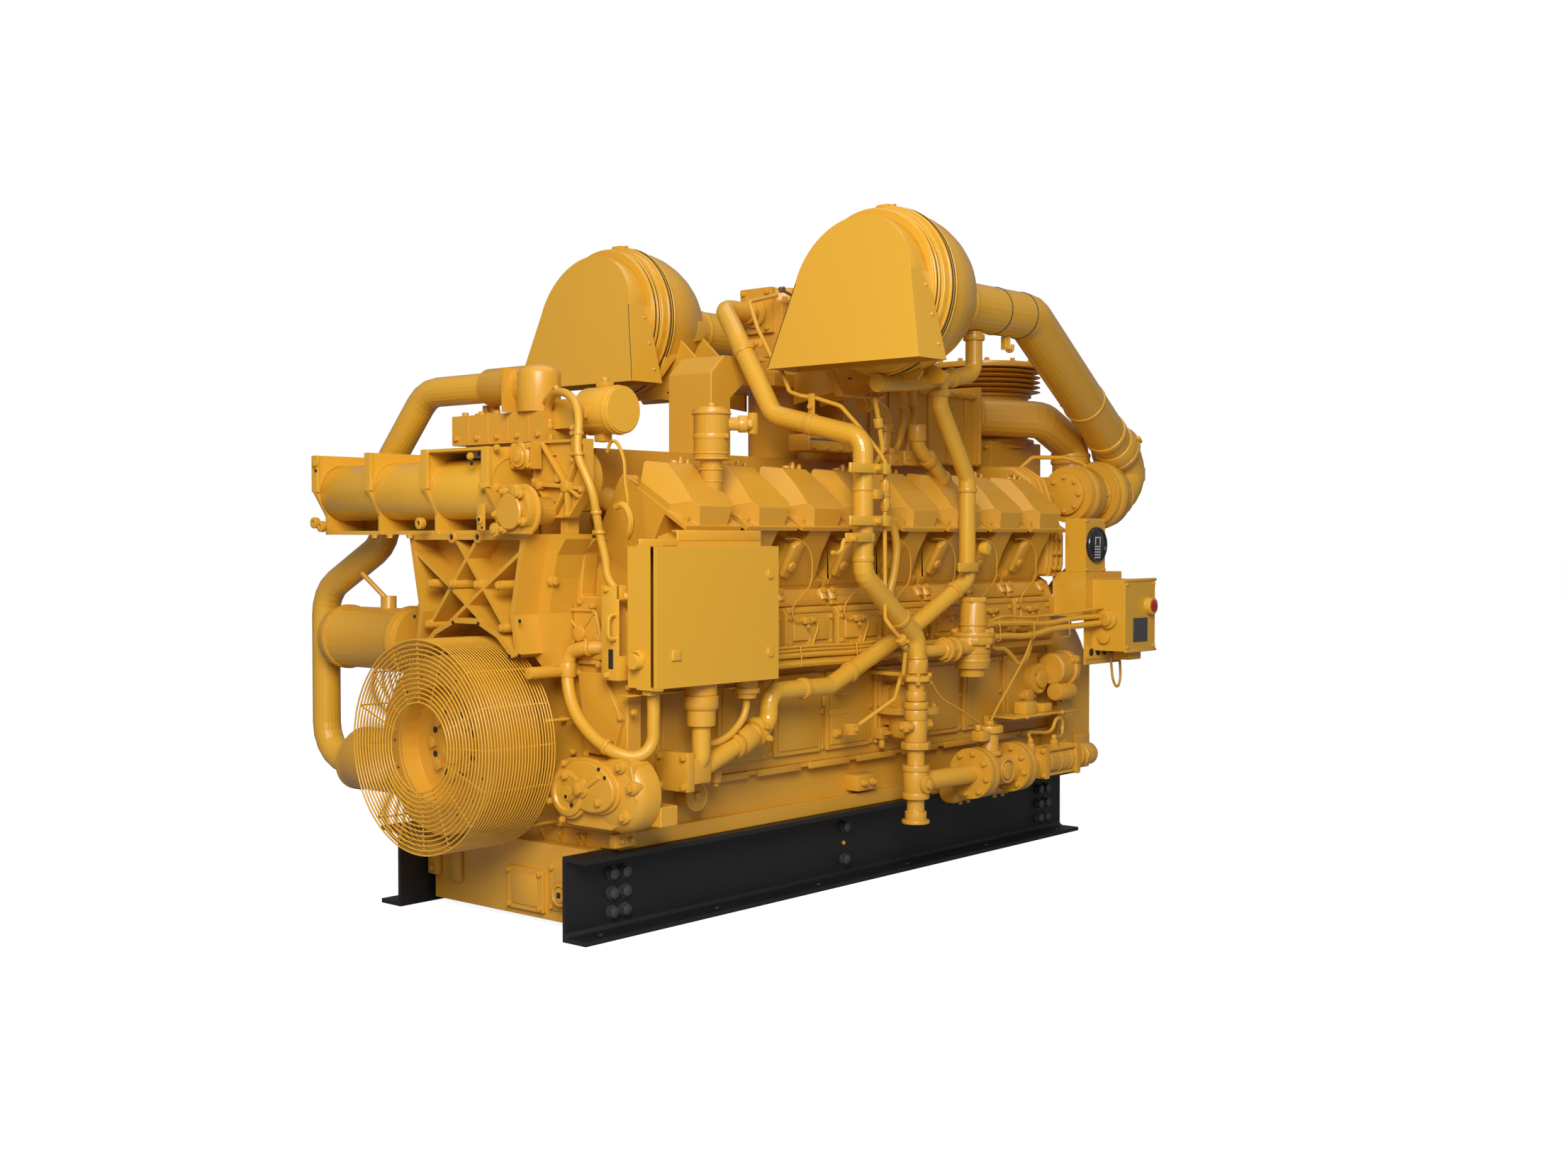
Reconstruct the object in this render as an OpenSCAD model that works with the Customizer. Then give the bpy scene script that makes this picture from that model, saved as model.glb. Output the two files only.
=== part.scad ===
// Stationary V16 gas engine on two steel rails.
// +X runs from the damper end to the flywheel end, +Z is up, the control box side is -Y.
// The origin is at ground level, at the centre of the pattern of foundation holes.

/* [Rails] */
// Length of each rail
rail_length = 2260; // [2200:10:2500]
// Height of each rail
rail_height = 210; // [200:5:220]
// Reach of a rail's flanges from the back of its web
rail_flange = 83; // [75:1:100]
// Thickness of a rail's web
rail_web = 10; // [7:1:14]
// Thickness of a rail's flanges
rail_flange_t = 12; // [8:1:16]
// Distance from the centre plane to the back of each web
rail_back = 321; // [315:1:330]
// Diameter of the foundation holes
foundation_d = 22; // [14:1:28]
// Distance between the outer foundation holes along the rail
foundation_span = 2100; // [1900:10:2150]
// Number of foundation holes in each rail
foundation_count = 6; // [4:1:8]

/* [Crankcase] */
// Height of the crankshaft above the ground
crank_z = 468; // [460:1:480]
// Distance between neighbouring cylinders
pitch = 224.5; // [222:0.5:228]
// Cylinders in each bank
bank_count = 8; // [6:1:8]
// Middle of the cylinder rows
row_x = 29; // [20:1:36]
// Front face of the block
block_front = -950; // [-960:1:-945]
// Rear face of the block
block_rear = 985; // [980:1:995]
// Half width of the crankcase
case_half = 365; // [360:1:370]
// Height at which the oil pan meets the crankcase
pan_top = 361; // [355:1:368]
// Distance from the crankshaft to the cylinder deck
deck_a = 510; // [505:1:515]
// Diameter of the crankshaft
shaft_d = 120; // [100:1:130]
// Running clearance round the crankshaft
shaft_clear = 5; // [5:1:8]

/* [Cylinder heads] */
// Width of a cylinder head along the row
head_w = 206; // [190:1:212]
// Height of a cylinder head
head_h = 194; // [180:1:200]
// Half width of a cylinder head across the bank
head_half = 127; // [120:1:130]
// Height of a rocker cover above its flange
cover_h = 80; // [72:1:88]

/* [Air cleaners] */
// Distance from the centre plane to an air cleaner's axis
cleaner_y = 529; // [520:1:545]
// Height of an air cleaner's axis
cleaner_z = 1670; // [1660:1:1690]
// Radius of an air cleaner's canister
cleaner_r = 228; // [215:1:232]
// Diameter of the intake pipes
intake_d = 142; // [120:1:146]

/* [Damper guard] */
// Outer radius of the wire guard
guard_r = 267; // [255:1:270]
// Front face of the wire guard
guard_front = -1315; // [-1330:1:-1305]
// Rear end of the wire guard
guard_rear = -1102; // [-1110:1:-1095]
// Thickness of the guard's wires
guard_wire = 5; // [4:0.5:6]
// Rings in the face of the guard
face_rings = 14; // [10:1:16]
// Rings round the barrel of the guard
barrel_rings = 20; // [14:1:24]
// Outer radius of the crankshaft damper
damper_r = 225; // [200:1:240]

/* [Control box] */
// Width of the control box along the engine
box_w = 444; // [400:1:460]
// Height of the control box
box_h = 342; // [320:1:350]
// Depth of the control box without its door
box_depth = 76; // [60:1:90]
// Thickness of the box's sheet metal
box_sheet = 3; // [2:0.5:4]
// Thickness of the door
door_t = 18; // [14:1:22]
// Gap between the door and the box
door_gap = 5; // [5:0.5:7]

/* [Pipes] */
// Outside diameter of the gas pipe to the carburettor
gas_pipe_d = 57; // [48:1:60]
// Outside diameter of the vent pipe
vent_pipe_d = 50; // [40:1:52]
// Outside diameter of the coolant pipe
coolant_pipe_d = 80; // [70:1:88]
// Outside diameter of the charge air pipes
charge_pipe_d = 126; // [110:1:128]

/* [Hidden] */

paint = "#dda83c";
black = "#1c1c1e";
steel = "#77716a";
seat = 0.3;
bank_tilt = 30;
bend_step = 18;
seed = [0.2, 0.5, 0.3];
top_z = 996;

// Place of cylinder k along the engine, with k counted from the damper end.
function cyl_x(k) = row_x + (k - (bank_count - 1) / 2) * pitch;

// Point of the left bank's cross section, at distance a along the cylinder and l outward from it.
function bank_point(a, l) = [-(a * sin(bank_tilt) + l * cos(bank_tilt)), crank_z + a * cos(bank_tilt) - l * sin(bank_tilt)];

function mirrored(points) = [for (i = [len(points) - 1 : -1 : 0]) [-points[i][0], points[i][1]]];
function unit(v) = v / norm(v);

// Extrudes a (y, z) outline from x0 over a length.
module along_x(x0, length) {
    translate([x0, 0, 0]) rotate([90, 0, 90]) linear_extrude(length) children();
}

// Extrudes an (x, z) outline from y0 over a length.
module along_y(y0, length) {
    translate([0, y0 + length, 0]) rotate([90, 0, 0]) linear_extrude(length) children();
}

module rod_x(x0, y, z, length, d) {
    translate([x0, y, z]) rotate([0, 90, 0]) cylinder(h = length, d = d, $fn = 64);
}

module rod_y(x, y0, z, length, d) {
    translate([x, y0, z]) rotate([-90, 0, 0]) cylinder(h = length, d = d, $fn = 64);
}

module rod_z(x, y, z0, length, d) {
    translate([x, y, z0]) cylinder(h = length, d = d, $fn = 64);
}

module block3(x0, x1, y0, y1, z0, z1) {
    translate([x0, y0, z0]) cube([x1 - x0, y1 - y0, z1 - z0]);
}

module both_sides() {
    children();
    mirror([0, 1, 0]) children();
}

module left_bank() {
    translate([0, 0, crank_z]) rotate([bank_tilt, 0, 0]) children();
}

// A straight length of pipe from a to b.
module straight(a, b, d) {
    w = unit(b - a);
    side = abs(w[2]) < 0.9 ? unit(cross([0, 0, 1], w)) : unit(cross([1, 0, 0], w));
    up = cross(w, side);
    multmatrix([
        [side[0], up[0], w[0], a[0]],
        [side[1], up[1], w[1], a[1]],
        [side[2], up[2], w[2], a[2]],
        [0, 0, 0, 1]
    ]) cylinder(h = norm(b - a), d = d, $fn = 48);
}

// The stations round a corner p1 between p0 and p2: [place, heading] along an arc of radius r.
function corner(p0, p1, p2, r) =
    let (u = unit(p1 - p0), v = unit(p2 - p1), turn = acos(u * v), n = ceil(turn / bend_step),
         inward = unit(v - u * (u * v)), c = p1 - u * r * tan(turn / 2) + inward * r)
    [for (k = [0 : n]) let (f = turn * k / n) [c + (u * sin(f) - inward * cos(f)) * r, u * cos(f) + inward * sin(f)]];

// The stations of a whole pipe through the points.
function stations(points, r) =
    let (n = len(points))
    concat(
        [[points[0], unit(points[1] - points[0])]],
        [for (i = [1 : n - 2]) each corner(points[i - 1], points[i], points[i + 1], r)],
        [[points[n - 1], unit(points[n - 1] - points[n - 2])]]
    );

// A direction square to v and as near to s as can be.
function squared(s, v) = unit(s - v * (s * v));

// Side directions carried along the stations without twist.
function carried(st) = [
    for (i = 0, s = squared(seed, st[0][1]); i < len(st);
         i = i + 1, s = i < len(st) ? squared(s, st[i][1]) : s) s
];

// A round pipe swept through the points, with each corner rounded to radius r.
module pipe(points, r, d, sides = 20) {
    st = stations(points, r);
    across = carried(st);
    n = len(st);
    rings = [
        for (i = [0 : n - 1]) for (k = [0 : sides - 1])
            st[i][0] + (across[i] * cos(360 * k / sides) + cross(st[i][1], across[i]) * sin(360 * k / sides)) * d / 2
    ];
    walls = [
        for (i = [0 : n - 2]) for (k = [0 : sides - 1])
            let (a = i * sides + k, b = i * sides + (k + 1) % sides)
            each [[a, a + sides, b], [b, a + sides, b + sides]]
    ];
    ends = [[for (k = [0 : sides - 1]) k], [for (k = [sides - 1 : -1 : 0]) (n - 1) * sides + k]];
    polyhedron(rings, concat(walls, ends));
}

/* Rails */
module rail(side) {
    web_face = rail_back + rail_web;
    tip = rail_back + rail_flange;
    fillet = 12;
    color(black) mirror([0, side > 0 ? 1 : 0, 0]) difference() {
        union() {
            along_x(-rail_length / 2, rail_length) polygon([
                [-rail_back, 0], [-tip, 0], [-tip, rail_flange_t], [-web_face, rail_flange_t],
                [-web_face, rail_height - rail_flange_t], [-tip, rail_height - rail_flange_t],
                [-tip, rail_height], [-rail_back, rail_height]
            ]);
            for (z = [rail_flange_t, rail_height - rail_flange_t - fillet])
                difference() {
                    block3(-rail_length / 2, rail_length / 2, -web_face - fillet, -web_face, z, z + fillet);
                    rod_x(-rail_length / 2 - 1, -web_face - fillet,
                          z == rail_flange_t ? z + fillet : z, rail_length + 2, 2 * fillet);
                }
        }
        for (i = [0 : foundation_count - 1])
            rod_z(-foundation_span / 2 + i * foundation_span / (foundation_count - 1),
                  -(rail_back + rail_flange * 0.6), -1, rail_flange_t + 2, foundation_d);
    }
}
module rail_left() { rail(-1); }
module rail_right() { rail(1); }

/* Oil pan */
pan_front = -1030;
pan_rear = 980;
pan_bottom = 15;
sump_half = 300;
ledge_top = rail_height + 40;
ledge_half = rail_back + 52;
pan_half = 345;
lip_h = 12;
module oil_pan() {
    color(paint) union() {
        block3(pan_front, pan_rear, -sump_half, sump_half, pan_bottom, rail_height);
        block3(pan_front + 45, pan_rear, -ledge_half, ledge_half, rail_height, ledge_top);
        block3(block_front + 5, pan_rear, -pan_half, pan_half, ledge_top, pan_top - lip_h);
        block3(block_front + 5, pan_rear, -case_half - 6, case_half + 6, pan_top - lip_h, pan_top);
        for (x = [-870, 0, 870])
            block3(x - 60, x + 60, -rail_back, rail_back, 45, rail_height - 20);
        block3(pan_front - 12, pan_front, -150, -10, 32, 142);
        block3(pan_front - 8, pan_front, -285, -170, 45, 165);
        rod_x(pan_front - 26, -230, 92, 30, 62);
    }
}

/* Crankcase and cylinder block */
cam_half = case_half + 20;
bearing_w = 60;
deck_l = head_half + 3;
gallery_step = 17.4;
deck_edge = (cam_half - gallery_step - deck_a * sin(bank_tilt)) / cos(bank_tilt);
module engine_block() {
    outer = bank_point(deck_a, deck_edge);
    inner = bank_point(deck_a, -deck_l);
    half = [
        [-case_half, pan_top], [-case_half, 640], [-cam_half, 660], [-cam_half, 800],
        outer, inner, [-100, inner[1] - 72]
    ];
    color(paint) difference() {
        along_x(block_front, block_rear - block_front) polygon(concat(half, mirrored(half)));
        rod_x(block_front - 1, 0, crank_z, block_rear - block_front + 2, shaft_d + 2 * seat);
        for (k = [0 : bank_count - 2])
            rod_x(cyl_x(k) + bearing_w / 2, 0, crank_z, pitch - bearing_w, shaft_d + 2 * shaft_clear);
    }
}

/* Side covers */
module crankcase_covers() {
    cover_t = 13;
    cover_w = 196;
    color(paint) both_sides() for (k = [0 : bank_count - 1])
        block3(cyl_x(k) - cover_w / 2, cyl_x(k) + cover_w / 2, -case_half - cover_t, -case_half, 388, 612);
}

cam_cover_t = 35;
cam_face = cam_half + cam_cover_t;
module camshaft_covers() {
    cover_w = 202;
    color(paint) both_sides() for (k = [0 : bank_count - 1])
        along_x(cyl_x(k) - cover_w / 2, cover_w) polygon([
            [-cam_half, 668], [-cam_half - 22, 668], [-cam_face, 690],
            [-cam_face, 780], [-cam_half - 22, 797], [-cam_half, 797]
        ]);
}

/* Cylinder heads and rocker covers */
head_top = deck_a + head_h;
// A head: its body, and on the outer side a column under the cover's nose with a wider foot.
head_recess = 62;
module head(k) {
    foot = 26;
    column = 46;
    translate([cyl_x(k), 0, 0]) union() {
        along_x(-head_w / 2, head_w) polygon([
            [-head_half, deck_a], [head_half - 2, deck_a], [head_half - 2, head_top],
            [-head_recess, head_top], [-head_recess, deck_a + foot + 12], [-head_half, deck_a + foot]
        ]);
        along_y(-head_half - 2, head_half + 2 - head_recess) polygon([
            [-column, head_top], [column, head_top], [column, head_top - 80], [column + 16, deck_a + foot + 24],
            [column + 16, deck_a + foot / 2], [-2 * column, deck_a + foot / 2], [-2 * column, head_top - 66],
            [-column - 14, head_top - 54], [-column, head_top - 54]
        ]);
    }
}
module cylinder_heads_left() { color(paint) left_bank() for (k = [0 : bank_count - 1]) head(k); }
module cylinder_heads_right() { mirror([0, 1, 0]) cylinder_heads_left(); }

cover_flange = 12;
tip_drop = 34;
side_drop = 64;
module rocker_cover(k) {
    base = head_top + cover_flange;
    top = base + cover_h;
    nose = 50;
    translate([cyl_x(k), 0, 0]) union() {
        block3(-head_w / 2, head_w / 2, -head_half - 17, head_half - 4, head_top, base);
        intersection() {
            along_x(-head_w / 2 + 2, head_w - 4) polygon([
                [-head_half - 11, base], [-head_half + 4, top - tip_drop], [-36, top - 12],
                [40, top], [92, top - 22], [head_half - 10, base + 4], [head_half - 10, base]
            ]);
            linear_extrude(2 * top) polygon([
                [-nose, head_half], [-head_w / 2, 52], [-head_w / 2, -62], [-nose, -head_half - 12],
                [nose, -head_half - 12], [head_w / 2, -62], [head_w / 2, 52], [nose, head_half]
            ]);
            along_y(-2 * head_half, 4 * head_half) polygon([
                [-head_w / 2, base], [-head_w / 2, top - side_drop], [-nose, top + 1],
                [nose, top + 1], [head_w / 2, top - side_drop], [head_w / 2, base]
            ]);
        }
    }
}
module rocker_covers_left() { color(paint) left_bank() for (k = [0 : bank_count - 1]) rocker_cover(k); }
module rocker_covers_right() { mirror([0, 1, 0]) rocker_covers_left(); }

/* Manifold, aftercooler and centre parts, in the valley between the banks */
manifold_half = 82;
manifold_lead = 33;
manifold_tail = 75;
manifold_bottom = 1060;
manifold_top = 1226;
module exhaust_manifold() {
    valley = bank_point(deck_a, -deck_l)[1] - 72;
    color(paint) union() {
        block3(cyl_x(0) - manifold_lead, cyl_x(bank_count - 1) + manifold_tail, -manifold_half, manifold_half, manifold_bottom, manifold_top);
        for (x = [-600, -100, 400, 850])
            block3(x - 60, x + 60, -50, 50, valley, manifold_bottom);
        both_sides() left_bank() for (k = [0 : bank_count - 1])
            translate([cyl_x(k), head_half - 2, deck_a + 75]) rotate([-90, 0, 0])
                cylinder(h = 118, d = 60, $fn = 48);
    }
}

cooler_half = 150;
cooler_top = 1470;
cooler_front = 160;
cooler_rear = 872;
deck_t = 40;
post_rear = -146;
// The cooler's core at the back, and at the front a deck on a throat with open space round it.
module aftercooler() {
    flange_t = 15;
    color(paint) union() {
        block3(cooler_front, cooler_rear, -cooler_half, cooler_half, manifold_top, cooler_top);
        block3(cooler_rear, cooler_rear + flange_t, -cooler_half - 22, cooler_half + 22, manifold_top + 6, cooler_top + 22);
        block3(cooler_front, cooler_front + flange_t, -cooler_half - 14, cooler_half + 14, manifold_top, cooler_top + 10);
        block3(post_rear, cooler_front, -cooler_half, cooler_half, cooler_top - deck_t, cooler_top);
        rod_z(20, 0, manifold_top, cooler_top - deck_t - manifold_top, 150);
    }
}

module centre_post() {
    color(paint) along_y(-85, 170) polygon([
        [-345, manifold_top], [-345, 1460], [-290, 1512], [-180, 1512], [post_rear, 1480], [post_rear, cooler_top - deck_t],
        [-210, cooler_top - deck_t], [-262, 1390], [-262, manifold_top]
    ]);
}

module carburettor() {
    color(paint) union() {
        rod_z(60, 0, cooler_top, 60, 190);
        block3(-40, 160, -90, 90, cooler_top + 60, 1690);
        rod_z(60, 0, 1690, 50, 150);
        block3(-58, -40, -62, 62, 1600, 1735);
    }
}

/* Front of the engine */
case_x = -1000;
module front_gear_case() {
    half = [
        [-ledge_half, ledge_top + 2], [-415, 300], [-415, 800], [-380, 842], [-250, 842],
        [-262, 950], [-305, top_z - 10]
    ];
    color(paint) difference() {
        along_x(case_x, block_front - case_x) polygon(concat(half, mirrored(half)));
        rod_x(case_x - 1, 0, crank_z, block_front - case_x + 2, shaft_d + 2 * shaft_clear);
    }
}

cover_plate = 14;
module gear_case_covers() {
    color(paint) both_sides() along_x(case_x - cover_plate, cover_plate) union() {
        polygon([[-240, 826], [-296, 820], [-326, 765], [-330, 672], [-252, 672], [-236, 800]]);
        polygon([[-252, 653], [-344, 653], [-408, 540], [-384, 468], [-330, 448], [-278, 452]]);
    }
}

module oil_pump() {
    color(paint) union() {
        along_x(-1072, 72) union() {
            translate([-300, 361]) circle(r = 84, $fn = 72);
            polygon([[-300, 277], [-430, 277], [-500, 310], [-520, 360], [-500, 440], [-430, 444], [-300, 444]]);
        }
        rod_x(-1090, -300, 361, 20, 132);
        rod_x(-1098, -300, 361, 10, 40);
        block3(-1000, -940, -530, -418, 285, 335);
    }
}

support_x = -1165;
module front_support() {
    rim = 14;
    deep = 76;
    slot_depth = 41;
    half = [
        [-44, 770], [-120, 735], [-205, 665], [-232, 640], [-248, 668], [-232, 800], [-246, 885],
        [-262, 945], [-292, 984], [-292, top_z]
    ];
    panel = [
        [-44, 770], [-120, 738], [-176, 690], [-206, 700], [-186, 796], [-226, top_z - 12], [-226, top_z]
    ];
    bars = [
        [[-48, 990], [0, 935]], [[0, 935], [64, 861]], [[64, 861], [146, 765]],
        [[64, 861], [0, 817]], [[64, 861], [214, 955]], [[0, 817], [-130, 730]]
    ];
    color(paint) difference() {
        union() {
            along_x(support_x + deep, case_x - support_x - deep)
                polygon(concat(half, mirrored(half)));
            along_x(support_x, deep) difference() {
                polygon(concat(panel, mirrored(panel)));
                offset(delta = -rim) polygon(concat(panel, mirrored(panel)));
            }
            along_x(support_x + 4, deep - 4) intersection() {
                polygon(concat(panel, mirrored(panel)));
                for (m = [0, 1]) mirror([m, 0]) for (b = bars) {
                    v = b[1] - b[0];
                    translate(b[0]) rotate(atan2(v[1], v[0])) translate([-4, -5]) square([norm(v) + 8, 10]);
                }
            }
            for (m = [-1, 1]) for (p = [[50, 870], [134, 869], [146, 764]])
                rod_x(support_x - 2, m * p[0], p[1], deep + 2, 24);
        }
        for (y = [47, -165]) {
            for (z = [938, 962]) rod_x(support_x + deep - 1, y, z, slot_depth, 28);
            block3(support_x + deep - 1, support_x + deep - 1 + slot_depth, y - 14, y + 14, 938, 962);
        }
        rod_x(support_x + deep - 1, -99, 926, slot_depth, 26);
    }
}

tray_front = -1205;
tray_rear = -1032;
tray_left = 600;
tray_right = -130;
tray_top = 1212;
tray_plate = 12;
header_x = -1112;
header_z = 1110;
header_d = 152;
module front_tray() {
    spacing = (tray_left - tray_right - tray_plate) / 3;
    color(paint) difference() {
        union() {
            for (i = [0 : 3]) along_y(tray_right + i * spacing, tray_plate) polygon([
                [tray_front, tray_top], [tray_front, 1112], [tray_front + 40, 1046],
                [tray_front + 40, top_z], [tray_rear, top_z], [tray_rear, tray_top]
            ]);
            block3(tray_front + 46, tray_rear, tray_right, tray_left, top_z, top_z + 10);
            block3(tray_rear - 8, tray_rear, tray_right, tray_left, top_z, tray_top);
            block3(tray_front + 6, tray_rear, tray_right, tray_right + spacing, tray_top - 8, tray_top);
            for (i = [0 : 3])
                block3(tray_front, tray_front + 10, tray_right + i * spacing - 6, tray_right + i * spacing + 18, 1112, tray_top);
        }
        rod_y(header_x, tray_right - 1, header_z, tray_left - tray_right + 2, header_d + 2 * seat);
    }
}

module header_cylinder() {
    color(paint) rod_y(header_x, tray_right + 2, header_z, tray_left - tray_right - 4, header_d);
}

module ribbed_cover() {
    cy = -262;
    cz = 1135;
    front = -1088;
    outline = [[cy + 92, 1228], [cy - 96, 1228], [cy - 96, 1100], [cy - 40, 1036], [cy + 20, 1036], [cy + 92, 1128]];
    color(paint) union() {
        along_x(front + 12, 20) polygon(outline);
        along_x(front, 12) difference() {
            polygon(outline);
            offset(delta = -7) polygon(outline);
        }
        along_x(front + 1, 11) intersection() {
            polygon(outline);
            for (turn = [0, 60, 120]) translate([cy - 16, cz]) rotate(turn) square([300, 6], center = true);
            for (turn = [-30, 30]) translate([cy + 18, cz - 1.9 * turn]) rotate(turn) square([150, 5], center = true);
        }
        rod_x(front - 2, cy, cz, 14, 22);
        rod_x(front + 32, cy, cz, 50, 150);
        block3(front + 20, front + 60, cy - 12, cy + 12, top_z, 1050);
    }
}

module auxiliary_pump() {
    color(paint) union() {
        rod_x(-1198, -222, top_z + 57, 30, 114);
        rod_x(-1208, -222, top_z + 57, 11, 74);
        rod_x(-1170, -222, top_z + 57, 82 - seat, 70);
        block3(-1196, -1170, -262, -182, top_z, 1020);
        block3(-1122, -1088 - seat, -204, -134, 1158, 1222);
        rod_x(-1136, -168, 1190, 16, 56);
    }
}

thermo_front = -1024;
thermo_top = 1310;
module thermostat_housing() {
    color(paint) union() {
        block3(thermo_front, -880, -142, 226, 1232, thermo_top);
        block3(case_x + 2, -900, -100, 200, top_z - 10, 1232);
        for (y = [-80, 0, 80, 160]) block3(thermo_front - 2, thermo_front + 2, y - 2, y + 2, 1236, thermo_top - 4);
    }
}

elbow_y = -78;
coolant_x = -985;
coolant_z = 1384;
elbow_r = 56;
module coolant_elbow() {
    color(paint) union() {
        translate([coolant_x, elbow_y, thermo_top]) rotate_extrude($fn = 96) polygon(concat(
            [[0, 0], [elbow_r, 0]],
            [for (a = [0 : 10 : 80]) [elbow_r * cos(a), 96 + elbow_r / 2 * sin(a)]],
            [[0, 96 + elbow_r / 2]]
        ));
        rod_y(coolant_x, elbow_y + 20, coolant_z, 170, 98);
        block3(coolant_x - 66, coolant_x + 66, elbow_y + elbow_r + 4, elbow_y + elbow_r + 14, thermo_top, coolant_z + 40);
    }
}

coolant_start = elbow_y + 190;
pump_z = 345;
module coolant_pipe() {
    color(paint) union() {
        pipe([
            [coolant_x, coolant_start, coolant_z], [coolant_x, 380, coolant_z], [coolant_x, 560, 1190],
            [coolant_x, 570, 975], [coolant_x, 860, 830], [coolant_x, 860, pump_z], [coolant_x, 706, pump_z]
        ], 105, coolant_pipe_d, 24);
    }
}

module coolant_pump() {
    color(paint) union() {
        rod_y(coolant_x - 20, 415, 362, 235, 176);
        rod_y(coolant_x, 650, pump_z, 56, 130);
        rod_y(coolant_x, 680, pump_z, 26, 158);
    }
}

module oil_cooler() {
    color(paint) union() {
        rod_y(-985, 415, 704, 365, 174);
        rod_y(-985, 440, 704, 18, 190);
        rod_y(-985, 740, 704, 16, 184);
        rod_z(-985, 560, 780, 44, 44);
        straight([-985, 560, 810], [-1040, 610, 890], 14);
    }
}

module expansion_canister() {
    color(paint) union() {
        rod_y(-945, -345, 1306, 118, 120);
        rod_y(-945, -349, 1306, 6, 112);
        block3(-992, -898, -228, -142, 1264, thermo_top + 28);
    }
}

/* Crankshaft with its damper and flywheel */
flywheel_x = 1112;
module crankshaft() {
    color(steel) rod_x(-1112, 0, crank_z, flywheel_x + 1112, shaft_d);
}

module crank_damper() {
    color(paint) difference() {
        union() {
            rod_x(-1250, 0, crank_z, 138, 2 * damper_r);
            rod_x(-1112, 0, crank_z, 30, 190);
        }
        rod_x(-1251, 0, crank_z, 50, 300);
        rod_x(-1202, 0, crank_z, 60, 64);
        rod_x(-1112, 0, crank_z, 31, shaft_d + 2 * seat);
    }
    color(paint) for (i = [0 : 7])
        translate([-1214, 0, crank_z]) rotate([45 * i, 0, 0]) translate([0, 78, 0])
            rotate([0, 90, 0]) cylinder(h = 13, d = 30, $fn = 6);
}

flywheel_r = 310;
module flywheel() {
    color(steel) difference() {
        rod_x(flywheel_x, 0, crank_z, 60, 2 * flywheel_r);
        for (i = [0 : 7])
            translate([flywheel_x + 30, 0, crank_z]) rotate([45 * i, 0, 0]) translate([0, 235, 0])
                rotate([0, 90, 0]) cylinder(h = 31, d = 20, $fn = 32);
        rod_x(flywheel_x + 20, 0, crank_z, 41, 160);
    }
}

/* Wire guard round the damper */
guard_bars = 8;
guard_eye = 112;
bar_turn = 20;
guard_feet = [75, 140, 220, 285];
module ring_x(x, r) {
    translate([x, 0, crank_z]) rotate([0, 90, 0]) rotate_extrude($fn = 120)
        translate([r - guard_wire / 2, 0]) square([guard_wire, guard_wire]);
}
// A bar of the guard's wire, turned about the crankshaft by an angle.
module guard_bar(x0, length, turn, r0, height) {
    translate([x0, 0, crank_z]) rotate([turn, 0, 0]) translate([0, -guard_wire / 2, r0])
        cube([length, guard_wire, height]);
}
bite = 1;
barrel_front = guard_front + 2 * guard_wire - bite;
module guard_face() {
    step = (guard_r - guard_eye) / (face_rings - 1);
    color(paint) union() {
        for (i = [0 : face_rings - 1]) ring_x(guard_front, guard_eye + i * step);
        for (i = [0 : guard_bars - 1])
            guard_bar(guard_front + guard_wire - bite, guard_wire, 360 / guard_bars * i + bar_turn,
                      guard_eye - bite, guard_r - guard_eye + guard_wire / 2);
    }
}
module guard_barrel() {
    step = (guard_rear - barrel_front - guard_wire) / barrel_rings;
    inner = guard_r - guard_wire * 1.5 + bite;
    color(paint) union() {
        for (i = [0 : barrel_rings]) ring_x(barrel_front + i * step, guard_r);
        for (i = [0 : guard_bars - 1])
            guard_bar(barrel_front + bite, guard_rear - barrel_front - 2 * bite,
                      360 / guard_bars * i + bar_turn, inner, guard_wire);
        for (turn = guard_feet)
            guard_bar(guard_rear - 4 * guard_wire, case_x - guard_rear + 4 * guard_wire, turn, inner, guard_wire);
    }
}

/* Flywheel end */
housing_rear = 1205;
housing_half = 400;
housing_r = 402;
module flywheel_housing() {
    color(paint) difference() {
        along_x(block_rear, housing_rear - block_rear) intersection() {
            union() {
                translate([0, crank_z]) circle(r = housing_r, $fn = 120);
                translate([-housing_half, rail_height]) square([2 * housing_half, 380]);
            }
            translate([-housing_half, rail_height]) square([2 * housing_half, 700]);
        }
        rod_x(block_rear + 55, 0, crank_z, 200, 2 * flywheel_r + 50);
        rod_x(block_rear - 1, 0, crank_z, 60, shaft_d + 2 * shaft_clear);
    }
    color(paint) both_sides() block3(block_rear, block_rear + 95, -housing_half - 10, -housing_half, 305, 586);
}

outlet_x = 1150;
collector_half = 140;
collector_top = 1320;
module exhaust_outlet() {
    fins = 5;
    pitch_z = 17;
    neck_r = 155;
    fin_r = 198;
    bore_r = 140;
    base = 1490;
    color(paint) union() {
        block3(990, 1300, -collector_half, collector_half, 1000, collector_top);
        difference() {
            block3(1010, 1190, -120, 120, crank_z, 1000);
            rod_x(1009, 0, crank_z, 182, 2 * housing_r);
        }
        translate([outlet_x, 0, 0]) rotate_extrude($fn = 96) polygon(concat(
            [[bore_r, collector_top - 20], [neck_r, collector_top - 20], [neck_r, base]],
            [for (i = [0 : fins - 1]) each [[fin_r, base + (i + 0.5) * pitch_z], [neck_r, base + (i + 1) * pitch_z]]],
            [[200, base + fins * pitch_z + 2], [200, base + fins * pitch_z + 20], [bore_r, base + fins * pitch_z + 20]]
        ));
    }
}

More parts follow.
